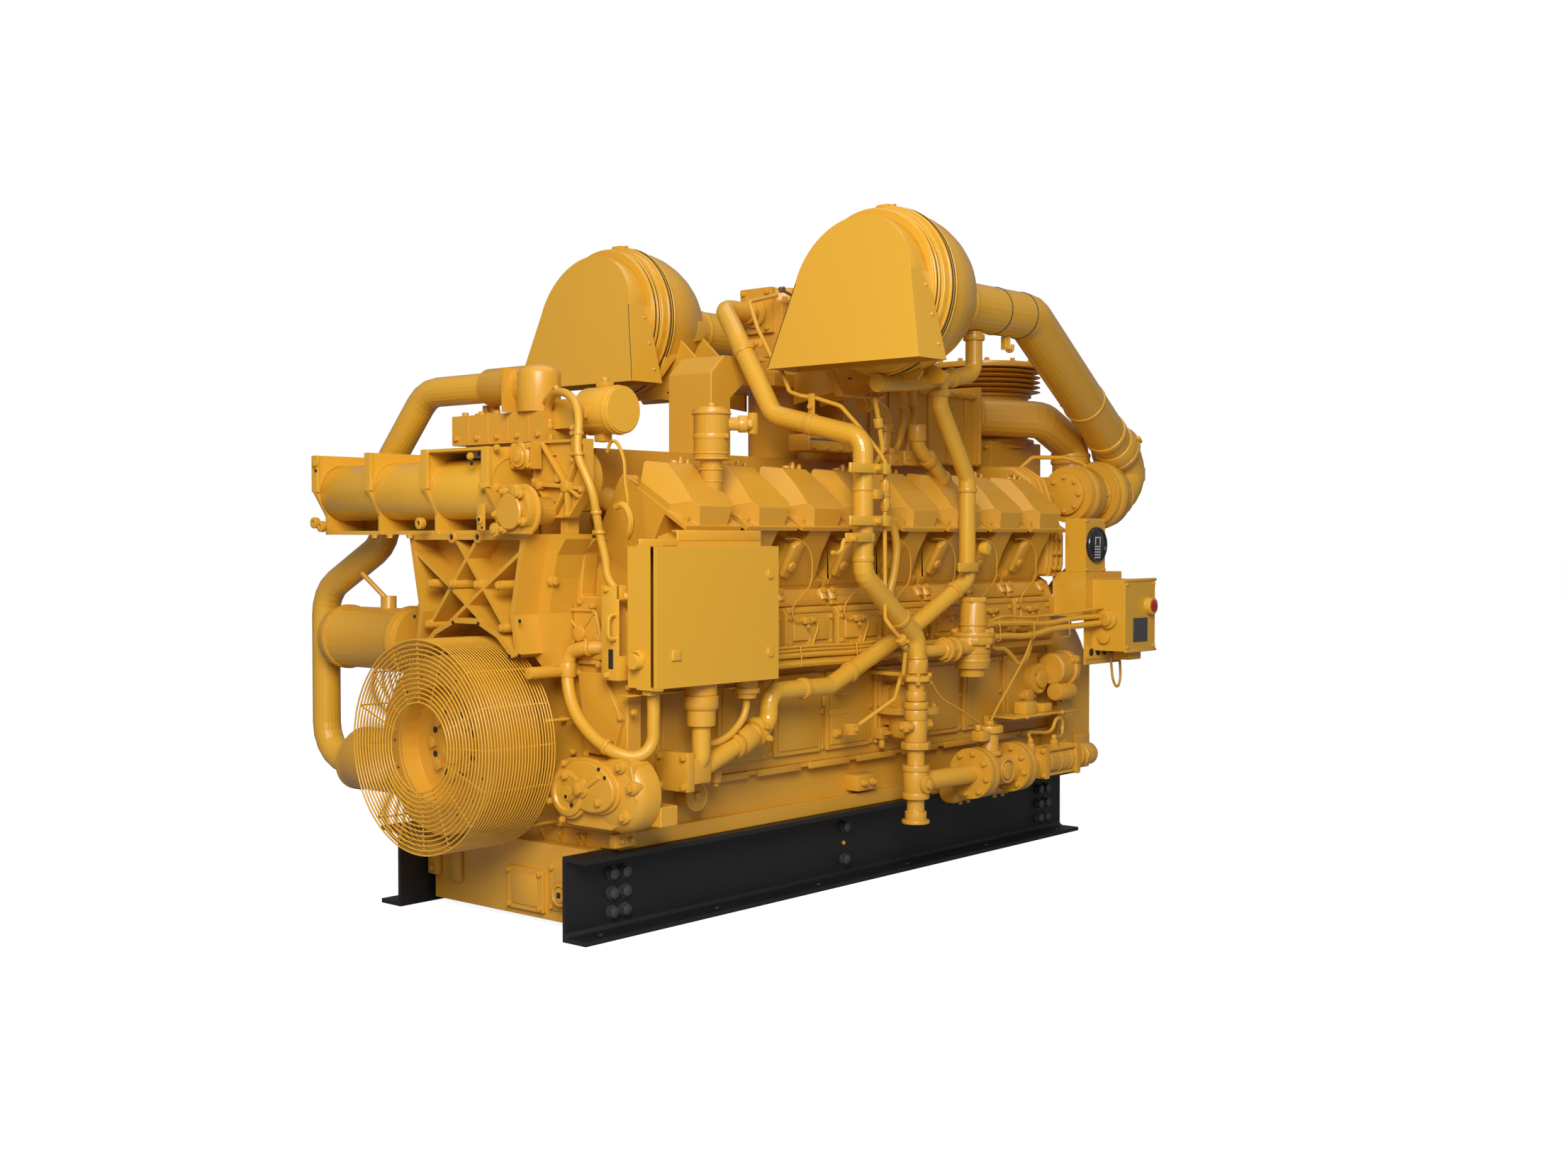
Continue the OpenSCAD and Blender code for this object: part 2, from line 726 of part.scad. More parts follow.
turbo_y = 380;
turbo_z = 1135;
comp_x = 1240;
comp_end = 1345;
comp_w = 90;
charge_x = 1285;
charge_y = -turbo_y + 108;
outlet_top = 1250;
module turbocharger() {
    rod_x(comp_x, -turbo_y, turbo_z, comp_w, 218);
    rod_x(comp_x + comp_w, -turbo_y, turbo_z, comp_end - comp_x - comp_w, intake_d + 20);
    rod_x(1189, -turbo_y, turbo_z, 52, 120);
    rod_x(1085, -turbo_y, turbo_z, 105, 188);
    block3(1095, 1175, -turbo_y + 50, -collector_half, turbo_z - 60, turbo_z + 60);
    rod_z(charge_x, charge_y, turbo_z + 50, outlet_top - turbo_z - 50, charge_pipe_d);
}
module turbochargers() { color(paint) both_sides() turbocharger(); }

module charge_pipes() {
    color(paint) both_sides() pipe([
        [887, -105, 1400], [930, -105, 1400], [1100, -270, 1390], [charge_x, charge_y, 1312],
        [charge_x, charge_y, outlet_top]
    ], 70, charge_pipe_d);
}

/* Air cleaners */
canister_front = -185;
dome_start = -87;
dome_length = 294;
dome_step = 7.23;
dome_power = 1.35;
function dome_r(x) = cleaner_r * pow(cos(asin((x - dome_start) / dome_length)), dome_power);
module canister() {
    curve = [
        for (i = [0 : 9])
            [cleaner_r * pow(cos(i * dome_step), dome_power), dome_start + dome_length * sin(i * dome_step)]
    ];
    translate([0, -cleaner_y, cleaner_z]) rotate([0, 90, 0]) rotate_extrude($fn = 96) polygon(concat(
        [[0, canister_front], [cleaner_r - 10, canister_front], [cleaner_r - 10, -150], [cleaner_r, -148],
         [cleaner_r, -127],
         [cleaner_r + 4, -123], [cleaner_r + 4, -99], [cleaner_r, -95]],
        curve, [[0, curve[9][1]]]
    ));
}
module air_cleaner_left() { color(paint) canister(); }
module air_cleaner_right() { color(paint) mirror([0, 1, 0]) canister(); }

hood_depth = 127;
hood_bottom = 1458;
hood_lean = 0.2;
// The side view of a hood, from its leaning front to the canister, drawn in by a wall.
module hood_side(wall) {
    front = canister_front - hood_depth + wall;
    polygon([
        [front, hood_bottom - wall], [canister_front - wall, hood_bottom - wall],
        [canister_front - wall, 1900], [front + hood_lean * (1900 - hood_bottom), 1900]
    ]);
}
module hood_face(wall) {
    arch_r = 202;
    arch_z = cleaner_z - 6;
    translate([0, arch_z]) circle(r = arch_r - wall, $fn = 96);
    polygon([
        [-262 + wall, hood_bottom - wall], [262 - wall, hood_bottom - wall],
        [198 - wall, arch_z + 38], [-198 + wall, arch_z + 38]
    ]);
}
module hood_solid(wall) {
    intersection() {
        along_x(canister_front - hood_depth - 1, hood_depth + 2) hood_face(wall);
        along_y(-300, 600) hood_side(wall);
    }
}
module rain_hoods() {
    color(paint) both_sides() translate([0, -cleaner_y, 0]) difference() {
        hood_solid(0);
        hood_solid(3);
    }
}

module cleaner_brackets() {
    color(paint) both_sides() for (x = [-60, 60]) difference() {
        along_x(x, 10) polygon([
            [-cooler_half, cooler_top - 90], [-cooler_half, cooler_top - 10], [-330, 1620], [-420, 1560],
            [-620, 1450], [-600, 1425], [-400, 1425], [-250, 1400]
        ]);
        rod_x(x - 1, -cleaner_y, cleaner_z, 12, 2 * dome_r(x) + 2 * seat);
    }
}

intake_start = dome_start + dome_length * sin(9 * dome_step);
intake_rear = 1470;
module intake_pipes() {
    color(paint) both_sides() union() {
        pipe([
            [intake_start, -cleaner_y, cleaner_z], [610, -cleaner_y, cleaner_z], [intake_rear, -turbo_y, 1254],
            [intake_rear, -turbo_y, turbo_z], [comp_end, -turbo_y, turbo_z]
        ], 100, intake_d, 28);
    }
}

/* Left side fittings */
module breather() {
    color(paint) difference() {
        union() {
            rod_z(-700, -418, 1080, 112, 58);
            rod_z(-700, -418, 1190, 112, 92);
            rod_z(-700, -418, 1302, 14, 98);
            straight([-700, -418, 1280], [-640, -470, 1280], 34);
        }
        left_bank() rocker_cover(0);
    }
}

cover_tip = -bank_point(head_top + cover_flange + cover_h - tip_drop, head_half - 4)[0];
cover_overhang = 68;
side_face = max(cam_face, cover_tip - cover_overhang);
box_back = -side_face - 32;
box_x = -1034;
box_top = 966;
box_z = box_top - box_h;
body_front = box_back - box_depth;
door_back = body_front - door_gap;
door_front = door_back - door_t;
hinge_x = box_x + 10;
hinge_y = door_back - door_t / 2;
pin_d = 6;
door_nose = 7;
module control_box() {
    color(paint) difference() {
        union() {
            block3(box_x, box_x + box_w, body_front, box_back, box_z, box_z + box_h);
            for (z = [box_z - 4, box_z + box_h]) block3(box_x, box_x + 22, door_front, box_back - 30, z, z + 4);
            for (z = [box_z, box_z + box_h - 6]) rod_z(hinge_x, hinge_y, z, 6, pin_d);
            for (z = [700, 750]) block3(-850, -620, box_back, -cam_face, z, z + 12);
            rod_x(box_x - 26, body_front + 34, box_z + 64, 26, 34);
            block3(box_x + 130, box_x + box_w - 2, box_back - 40, box_back, box_z + box_h, box_z + box_h + 14);
        }
        block3(box_x + box_sheet, box_x + box_w - box_sheet, body_front - 1, box_back - box_sheet,
               box_z + box_sheet, box_z + box_h - box_sheet);
    }
}

module control_box_door() {
    play = 0.5;
    color(paint) difference() {
        union() {
            translate([0, 0, box_z + play]) linear_extrude(box_h - 2 * play) polygon([
                [box_x, door_front], [box_x + box_w, door_front], [box_x + box_w, door_back],
                [box_x + door_nose, door_back], [box_x, door_back - door_nose]
            ]);
            for (z = [box_z + 70, box_z + 270])
                rod_y(box_x + box_w - 34, door_front - 5, z, 6, 22);
        }
        for (z = [box_z - 1, box_z + box_h - 7]) rod_z(hinge_x, hinge_y, z, 8, pin_d + 1);
    }
}

gas_y = -side_face - 125;
vent_y = -side_face - 54;
drop_y = gas_y + 27;
vent_z = box_z - 42;
column_x = 13;
gas_x = -231;
drop_x = 304;
module gas_pipe() {
    color(paint) union() {
        pipe([
            [-58, 0, 1660], [-200, 0, 1660], [-262, -112, 1560], [-278, -262, 1333], [gas_x, gas_y, 1262],
            [gas_x, gas_y, 888], [column_x, gas_y, 706], [column_x, gas_y, 644]
        ], 50, gas_pipe_d);
    }
}

module vent_pipe() {
    color(paint) union() {
        pipe([
            [320, -cleaner_y, cleaner_z - intake_d / 2 - seat], [320, -cleaner_y, 1474], [146, -cleaner_y, 1444], [146, -cleaner_y, 1372],
            [drop_x, drop_y, 1165], [drop_x, drop_y, 862],
            [100, vent_y, 732], [-289, vent_y, vent_z], [-541, vent_y, vent_z], [-541, vent_y, 500], [-800, vent_y, 405]
        ], 40, vent_pipe_d);
    }
}

column_d = 50;
coupling_d = 68;
tee_d = 70;
module gas_column() {
    color(paint) union() {
        rod_z(column_x, gas_y, 176, 468, column_d);
        rod_z(column_x, gas_y, 604, 40, coupling_d);
        rod_z(column_x, gas_y, 578, 20, coupling_d);
        block3(column_x - 30, column_x + 30, gas_y, -case_half - 13, 596, 606);
        rod_z(column_x, gas_y, 501, 22, coupling_d);
        rod_z(column_x, gas_y, 389, 17, 79);
        rod_z(column_x, gas_y, 250, 93, tee_d);
        rod_z(column_x, gas_y, 176, 34, 62);
    }
}

train_z = 290;
module gas_train() {
    color(paint) union() {
        difference() {
            rod_x(column_x, gas_y, train_z, 925, 56);
            rod_z(column_x, gas_y, train_z - 60, 120, tee_d);
        }
        for (x = [284, 312, 487, 515]) rod_x(x, gas_y, train_z, 22, 150);
        rod_x(334, gas_y, train_z, 153, 96);
        rod_z(380, gas_y, train_z, 130, 60);
        rod_x(column_x + 897, gas_y, train_z, 45, 72);
        for (x = [627, 808]) block3(x, x + 18, gas_y - 48, gas_y + 48, train_z - 48, train_z + 48);
        rod_x(645, gas_y, train_z, 163, 88);
    }
}

module gas_filter() {
    color(paint) union() {
        rod_z(335, drop_y, 575, 225, 78);
        rod_z(335, drop_y, 600, 74, 104);
        rod_z(335, drop_y, 672, 36, 130);
        difference() {
            rod_x(column_x, gas_y + 9, 662, 300, 34);
            rod_z(column_x, gas_y, 644, 36, gas_pipe_d + 2 * seat);
        }
    }
}

conduit_d = 19;
module side_conduits() {
    clip_t = 8;
    color(paint) union() {
        for (z = [26, 52]) rod_x(box_x + box_w, -cam_face - 3.5 - conduit_d / 2, box_z + z, 1500, conduit_d);
        for (k = [2 : bank_count - 1])
            block3(cyl_x(k) - 12, cyl_x(k) + 12, -cam_face - clip_t, -cam_face, box_z + 14, 712);
    }
}

plate_y = -side_face - 90;
bracket_back = plate_y + 80;
bracket_x = 990;
bracket_t = 6;
bracket_top = 877;
module rear_control_box() {
    right = 1226;
    color(paint) union() {
        block3(1040, 1238, plate_y - 120, plate_y, 618, 852);
        rod_y(1190, plate_y - 142, 764, 22, 56);
        block3(bracket_x, right, plate_y, plate_y + bracket_t, 572, bracket_top);
        block3(bracket_x, bracket_x + bracket_t, plate_y, -cam_half, 730, bracket_top);
        block3(bracket_x, right, plate_y, bracket_back, bracket_top - bracket_t, bracket_top);
        block3(925, bracket_x + bracket_t, -cam_half - 10, -cam_half, 730, 797);
    }
}

module instrument_box() {
    color(paint) union() {
        block3(992, 1116, plate_y, bracket_back - 2, bracket_top, 1053);
        rod_y(1054, plate_y - 3, 968, 4, 100);
    }
}

rail_left();
rail_right();
oil_pan();
engine_block();
crankcase_covers();
camshaft_covers();
cylinder_heads_left();
cylinder_heads_right();
rocker_covers_left();
rocker_covers_right();
exhaust_manifold();
aftercooler();
centre_post();
carburettor();
front_gear_case();
gear_case_covers();
oil_pump();
front_support();
front_tray();
header_cylinder();
ribbed_cover();
auxiliary_pump();
thermostat_housing();
coolant_elbow();
coolant_pipe();
coolant_pump();
oil_cooler();
expansion_canister();
crankshaft();
crank_damper();
flywheel();
guard_face();
guard_barrel();
flywheel_housing();
exhaust_outlet();
turbochargers();
charge_pipes();
air_cleaner_left();
air_cleaner_right();
rain_hoods();
cleaner_brackets();
intake_pipes();
breather();
control_box();
control_box_door();
gas_pipe();
vent_pipe();
gas_column();
gas_train();
gas_filter();
side_conduits();
rear_control_box();
instrument_box();
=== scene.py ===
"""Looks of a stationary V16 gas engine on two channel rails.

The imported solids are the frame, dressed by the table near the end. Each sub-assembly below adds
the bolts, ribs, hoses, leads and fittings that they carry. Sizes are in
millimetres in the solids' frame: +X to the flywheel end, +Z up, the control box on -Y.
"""

import logging
import math
from collections.abc import Iterable, Sequence
from dataclasses import dataclass, field
from enum import Enum

import bpy
from mathutils import Matrix, Vector


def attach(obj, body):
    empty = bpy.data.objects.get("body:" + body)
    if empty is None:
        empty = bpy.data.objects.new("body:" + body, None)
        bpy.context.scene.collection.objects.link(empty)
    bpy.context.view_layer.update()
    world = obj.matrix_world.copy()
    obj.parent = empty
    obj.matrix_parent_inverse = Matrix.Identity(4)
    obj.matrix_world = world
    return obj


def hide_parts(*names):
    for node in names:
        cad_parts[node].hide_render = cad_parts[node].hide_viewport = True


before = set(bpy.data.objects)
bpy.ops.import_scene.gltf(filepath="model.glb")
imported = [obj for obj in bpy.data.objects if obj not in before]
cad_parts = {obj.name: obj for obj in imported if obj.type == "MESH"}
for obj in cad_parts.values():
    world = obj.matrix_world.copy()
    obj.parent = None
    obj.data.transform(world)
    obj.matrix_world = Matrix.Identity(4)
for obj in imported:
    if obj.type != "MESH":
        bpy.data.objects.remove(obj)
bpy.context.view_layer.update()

LOG = logging.getLogger("gas_engine")
MM = 0.001
WELD_GAP = 0.00005
FLAT_ANGLE = 0.6
ENGINE = "engine"
Item = bpy.types.Object
Point = tuple[float, float, float]
Pair = tuple[float, float]


class Axis(Enum):
    """A direction along the frame's own axes."""

    PLUS_X = (1.0, 0.0, 0.0)
    MINUS_X = (-1.0, 0.0, 0.0)
    PLUS_Y = (0.0, 1.0, 0.0)
    MINUS_Y = (0.0, -1.0, 0.0)
    PLUS_Z = (0.0, 0.0, 1.0)
    MINUS_Z = (0.0, 0.0, -1.0)

    @property
    def vector(self) -> Vector:
        """The direction as a vector."""
        return Vector(self.value)


class Shape(Enum):
    """The profile of a curved run of pipe, hose or wire."""

    BENT = "bent"
    LOOSE = "loose"


def mm(point: Point) -> Vector:
    """A place in metres, from millimetres."""
    return Vector(point) * MM


def turned_to(direction: Vector) -> Matrix:
    """The turn that takes +Z to a direction."""
    return direction.to_track_quat("Z", "Y").to_matrix().to_4x4()


def evenly(count: int, first: float = 0.0) -> list[float]:
    """Turns spaced evenly round a circle, in radians."""
    return [k * math.tau / count + first for k in range(count)]


def circle(centre: Point, axis: Vector, radius: float, turns: Iterable[float]) -> list[Point]:
    """The places at some turns of a circle about +X, +Y or +Z.

    Args:
        centre: The middle of the circle.
        axis: The direction that the circle faces.
        radius: Its radius.
        turns: The turns, in radians.

    Returns:
        A place for each turn.
    """
    x, y, z = centre
    arms = [(radius * math.cos(turn), radius * math.sin(turn)) for turn in turns]
    if abs(axis.x) > 0.5:
        return [(x, y + a, z + b) for a, b in arms]
    if abs(axis.y) > 0.5:
        return [(x + a, y, z + b) for a, b in arms]
    return [(x + a, y + b, z) for a, b in arms]


# ---------------------------------------------------------------- node groups and finishes


@dataclass(frozen=True)
class NodeGroup:
    """A shader node group with named inputs and outputs, built once."""

    name: str
    inputs: tuple[tuple[str, float], ...]
    outputs: tuple[tuple[str, str], ...]

    def shell(self) -> tuple[bpy.types.NodeTree, bpy.types.Node, bpy.types.Node]:
        """Makes the empty group.

        Returns:
            The tree with its input and output nodes.
        """
        tree = bpy.data.node_groups.new(self.name, "ShaderNodeTree")
        for label, value in self.inputs:
            socket = tree.interface.new_socket(label, in_out="INPUT", socket_type="NodeSocketFloat")
            socket.default_value = value
        for label, kind in self.outputs:
            tree.interface.new_socket(label, in_out="OUTPUT", socket_type=kind)
        return tree, tree.nodes.new("NodeGroupInput"), tree.nodes.new("NodeGroupOutput")


def noise(
    tree: bpy.types.NodeTree, place: bpy.types.NodeSocket, scale: float, detail: float,
) -> bpy.types.Node:
    """A noise texture on object coordinates."""
    node = tree.nodes.new("ShaderNodeTexNoise")
    node.inputs["Scale"].default_value = scale
    node.inputs["Detail"].default_value = detail
    tree.links.new(place, node.inputs["Vector"])
    return node


def drift_group() -> bpy.types.NodeTree:
    """Slow drift of tone over a surface, and the height of its grain.

    Returns:
        A group that puts out Tone, from 0 to 1, and Height.
    """
    group = NodeGroup(
        "surface_drift",
        (("Tone Scale", 3.0), ("Grain Scale", 220.0), ("Peel Scale", 60.0), ("Peel Share", 0.5)),
        (("Tone", "NodeSocketFloat"), ("Height", "NodeSocketFloat")),
    )
    tree, start, end = group.shell()
    place = tree.nodes.new("ShaderNodeTexCoord").outputs["Object"]
    tone = noise(tree, place, 3.0, 4.0)
    grain = noise(tree, place, 220.0, 5.0)
    peel = noise(tree, place, 60.0, 2.0)
    for node, label in ((tone, "Tone Scale"), (grain, "Grain Scale"), (peel, "Peel Scale")):
        tree.links.new(start.outputs[label], node.inputs["Scale"])
    mix = tree.nodes.new("ShaderNodeMix")
    tree.links.new(start.outputs["Peel Share"], mix.inputs["Factor"])
    tree.links.new(grain.outputs["Fac"], mix.inputs["A"])
    tree.links.new(peel.outputs["Fac"], mix.inputs["B"])
    tree.links.new(tone.outputs["Fac"], end.inputs["Tone"])
    tree.links.new(mix.outputs["Result"], end.inputs["Height"])
    return tree


@dataclass(frozen=True)
class Finish:
    """One finish: a colour that drifts a little, a gloss and a grain."""

    name: str
    slot: str
    light: tuple[float, float, float]
    dark: tuple[float, float, float]
    gloss: Pair
    metallic: float = 0.0
    coat: float = 0.0
    grain: float = 0.1
    grain_scale: float = 220.0
    peel_share: float = 0.5
    tone_scale: float = 3.0

    def material(self) -> bpy.types.Material:
        """The finish as a material, built at its first use."""
        made = bpy.data.materials.get(self.name)
        if made:
            return made
        material = bpy.data.materials.new(self.name)
        material.use_nodes = True
        tree = material.node_tree
        shader = tree.nodes["Principled BSDF"]
        drift = tree.nodes.new("ShaderNodeGroup")
        drift.node_tree = bpy.data.node_groups.get("surface_drift") or drift_group()
        drift.inputs["Tone Scale"].default_value = self.tone_scale
        drift.inputs["Grain Scale"].default_value = self.grain_scale
        drift.inputs["Peel Share"].default_value = self.peel_share
        colour = tree.nodes.new("ShaderNodeMix")
        colour.data_type = "RGBA"
        colour.inputs["A"].default_value = (*self.dark, 1.0)
        colour.inputs["B"].default_value = (*self.light, 1.0)
        tree.links.new(drift.outputs["Tone"], colour.inputs["Factor"])
        tree.links.new(colour.outputs["Result"], shader.inputs["Base Color"])
        rough = tree.nodes.new("ShaderNodeMapRange")
        rough.inputs["To Min"].default_value = self.gloss[1]
        rough.inputs["To Max"].default_value = self.gloss[0]
        tree.links.new(drift.outputs["Tone"], rough.inputs["Value"])
        tree.links.new(rough.outputs["Result"], shader.inputs["Roughness"])
        bump = tree.nodes.new("ShaderNodeBump")
        bump.inputs["Strength"].default_value = self.grain
        bump.inputs["Distance"].default_value = 0.0006
        tree.links.new(drift.outputs["Height"], bump.inputs["Height"])
        tree.links.new(bump.outputs["Normal"], shader.inputs["Normal"])
        shader.inputs["Metallic"].default_value = self.metallic
        shader.inputs["Coat Weight"].default_value = self.coat
        shader.inputs["Coat Roughness"].default_value = 0.12
        return material


CAST = Finish(
    "cast_paint", "paint", (0.68, 0.338, 0.027), (0.6, 0.288, 0.022), (0.32, 0.45), coat=0.15, grain=0.35,
    grain_scale=160.0, peel_share=0.55,
)
SHEET = Finish(
    "sheet_paint", "paint", (0.72, 0.372, 0.028), (0.69, 0.352, 0.026), (0.26, 0.32), coat=0.25, grain=0.05,
    peel_share=0.9,
)
TUBE = Finish(
    "tube_paint", "paint", (0.7, 0.36, 0.027), (0.655, 0.332, 0.024), (0.24, 0.35), coat=0.25, grain=0.1,
    peel_share=0.8,
)
HOSE = Finish("painted_hose", "paint", (0.69, 0.352, 0.026), (0.62, 0.31, 0.022), (0.36, 0.48), grain=0.15)
RAIL = Finish(
    "black_rail", "black", (0.008, 0.007, 0.0074), (0.0055, 0.005, 0.0052), (0.48, 0.62), coat=0.0,
    grain=0.2, grain_scale=130.0,
)
DARK_BOLT = Finish(
    "dark_bolt", "black", (0.115, 0.118, 0.108), (0.07, 0.072, 0.066), (0.3, 0.48), metallic=0.6,
    grain=0.15,
)
MACHINED = Finish(
    "machined_steel", "steel", (0.43, 0.41, 0.38), (0.33, 0.31, 0.29), (0.28, 0.42), metallic=1.0,
    grain=0.1, grain_scale=300.0,
)
# Painted shade: this near-black stands in for the shade inside holes, slots, sockets and seam grooves. It is
# no seal or rubber.
SHADE_PAINT = Finish("painted_shade", "black", (0.02, 0.016, 0.012), (0.012, 0.01, 0.008), (0.55, 0.7), grain=0.2)
DIAL = Finish(
    "dial_black", "black", (0.012, 0.012, 0.014), (0.01, 0.01, 0.011), (0.22, 0.3), coat=0.4, grain=0.03,
)
MARK = Finish("pale_mark", "steel", (0.62, 0.62, 0.6), (0.52, 0.52, 0.5), (0.4, 0.5), grain=0.03)
PLATE = Finish(
    "grey_plate", "steel", (0.085, 0.088, 0.085), (0.065, 0.068, 0.066), (0.35, 0.45), metallic=0.3,
    grain=0.05,
)
RED = Finish(
    "red_button", "black", (0.42, 0.015, 0.01), (0.34, 0.012, 0.008), (0.22, 0.3), coat=0.4, grain=0.03,
)


# ---------------------------------------------------------------- modelling


class Bench:
    """The modelling steps that every piece is made with."""

    templates: dict[str, Item] = {}

    @staticmethod
    def clear() -> None:
        """Selects nothing."""
        bpy.ops.object.select_all(action="DESELECT")

    @staticmethod
    def choose(*objects: Item) -> None:
        """Selects these objects, and makes the first one active."""
        Bench.clear()
        for item in objects:
            item.select_set(True)
        bpy.context.view_layer.objects.active = objects[0]

    @staticmethod
    def settle() -> Item:
        """Puts the active object's place into its mesh."""
        bpy.ops.object.transform_apply(location=True, rotation=True, scale=True)
        return bpy.context.active_object

    @staticmethod
    def soften(item: Item, width: float, segments: int = 2, angle: float = 30.0) -> Item:
        """Rounds a piece's sharp edges.

        Args:
            item: The piece.
            width: The width of the rounding.
            segments: The steps across the rounding.
            angle: Only edges that turn more than this, in degrees, are rounded.

        Returns:
            The same piece.
        """
        if width > 0:
            Bench.choose(item)
            bevel = item.modifiers.new("soften", "BEVEL")
            bevel.width = width * MM
            bevel.segments = segments
            bevel.limit_method = "ANGLE"
            bevel.angle_limit = math.radians(angle)
            bpy.ops.object.modifier_apply(modifier=bevel.name)
        return item

    @staticmethod
    def box(low: Point, high: Point, bevel: float = 1.5, segments: int = 2) -> Item:
        """A block between two corners, with rounded edges."""
        a, b = mm(low), mm(high)
        Bench.clear()
        bpy.ops.mesh.primitive_cube_add(size=1.0, location=(a + b) / 2, scale=b - a)
        return Bench.soften(Bench.settle(), bevel, segments)

    @staticmethod
    def rod(
        start: Point, end: Point, radius: float, bevel: float = 1.2, sides: int = 32,
        radius_end: float | None = None,
    ) -> Item:
        """A round bar, or a cone where its two radii differ.

        Args:
            start: The middle of its first face.
            end: The middle of its last face.
            radius: Its radius at the start.
            bevel: The rounding of its rims.
            sides: How many sides it has.
            radius_end: Its radius at the end, where that differs.

        Returns:
            The bar.
        """
        a, b = mm(start), mm(end)
        Bench.clear()
        bpy.ops.mesh.primitive_cone_add(
            vertices=sides, radius1=radius * MM,
            radius2=(radius if radius_end is None else radius_end) * MM, depth=(b - a).length,
            location=(a + b) / 2, rotation=turned_to(b - a).to_euler(),
        )
        return Bench.soften(Bench.settle(), bevel, 2, 40.0)

    @staticmethod
    def ring(
        centre: Point, axis: Vector, radius: float, wire: float, steps: int = 64, sides: int = 10,
    ) -> Item:
        """A ring of round wire about an axis."""
        Bench.clear()
        bpy.ops.mesh.primitive_torus_add(
            major_radius=radius * MM, minor_radius=wire * MM, major_segments=steps, minor_segments=sides,
            location=mm(centre), rotation=turned_to(axis).to_euler(),
        )
        return Bench.settle()

    @staticmethod
    def ball(centre: Point, radius: float, segments: int = 24) -> Item:
        """A ball for a rounded end or an elbow's knuckle."""
        Bench.clear()
        bpy.ops.mesh.primitive_uv_sphere_add(
            segments=segments, ring_count=segments // 2, radius=radius * MM, location=mm(centre),
        )
        return Bench.settle()

    @staticmethod
    def slab(
        outline: Sequence[Point], along: Vector, thickness: float, bevel: float = 1.5, segments: int = 2,
    ) -> Item:
        """A flat outline, extruded.

        Args:
            outline: The corners in order, all in one plane.
            along: The way that it is extruded.
            thickness: How far.
            bevel: The rounding of its edges.
            segments: The steps across the rounding.

        Returns:
            The slab.
        """
        Bench.clear()
        bpy.ops.mesh.primitive_circle_add(vertices=len(outline), radius=1.0, fill_type="NGON")
        item = bpy.context.active_object
        for vertex, place in zip(item.data.vertices, outline):
            vertex.co = mm(place)
        bpy.ops.object.mode_set(mode="EDIT")
        bpy.ops.mesh.select_all(action="SELECT")
        bpy.ops.mesh.extrude_region_move(
            TRANSFORM_OT_translate={"value": along.normalized() * thickness * MM}
        )
        bpy.ops.mesh.select_all(action="SELECT")
        bpy.ops.mesh.normals_make_consistent(inside=False)
        bpy.ops.object.mode_set(mode="OBJECT")
        return Bench.soften(item, bevel, segments)

    @staticmethod
    def lathe(profile: Sequence[Pair], base: Point, axis: Vector, steps: int = 48) -> Item:
        """A profile spun into a closed round body.

        Args:
            profile: (radius, height) pairs, from axis to axis.
            base: The place of height 0.
            axis: The way that height runs.
            steps: The steps round the body.

        Returns:
            The body.
        """
        turn = turned_to(axis)
        Bench.clear()
        bpy.ops.mesh.primitive_circle_add(vertices=len(profile), radius=1.0, fill_type="NOTHING")
        item = bpy.context.active_object
        for vertex, (radius, height) in zip(item.data.vertices, profile):
            vertex.co = mm(base) + turn @ Vector((radius * MM, 0.0, height * MM))
        bpy.ops.object.mode_set(mode="EDIT")
        bpy.ops.mesh.select_all(action="DESELECT")
        bpy.ops.object.mode_set(mode="OBJECT")
        last = {len(profile) - 1, 0}
        for edge in item.data.edges:
            edge.select = set(edge.vertices) == last
        bpy.ops.object.mode_set(mode="EDIT")
        bpy.ops.mesh.select_mode(type="EDGE")
        bpy.ops.mesh.delete(type="EDGE_FACE")
        bpy.ops.mesh.select_mode(type="VERT")
        bpy.ops.mesh.select_all(action="SELECT")
        bpy.ops.mesh.spin(steps=steps, angle=math.tau, center=mm(base), axis=turn @ Vector((0, 0, 1)))
        bpy.ops.mesh.select_all(action="SELECT")
        bpy.ops.mesh.remove_doubles(threshold=2e-05)
        bpy.ops.mesh.normals_make_consistent(inside=False)
        bpy.ops.object.mode_set(mode="OBJECT")
        return item

    @staticmethod
    def rounded(points: Sequence[Point], bend: float) -> list[Vector]:
        """The line through some points with each corner rounded, in metres."""
        places = [mm(p) for p in points]
        line = [places[0]]
        for before, here, after in zip(places, places[1:], places[2:]):
            u, w = (here - before).normalized(), (after - here).normalized()
            turn = u.angle(w)
            if turn < math.radians(3):
                line.append(here)
                continue
            reach = min(
                bend * MM * math.tan(turn / 2), (here - before).length * 0.49, (after - here).length * 0.49,
            )
            radius = reach / math.tan(turn / 2)
            inward = (w - u * math.cos(turn)).normalized()
            centre = here - u * reach + inward * radius
            steps = max(3, math.ceil(math.degrees(turn) / 11))
            for k in range(steps + 1):
                f = turn * k / steps
                line.append(centre + (u * math.sin(f) - inward * math.cos(f)) * radius)
        line.append(places[-1])
        return line

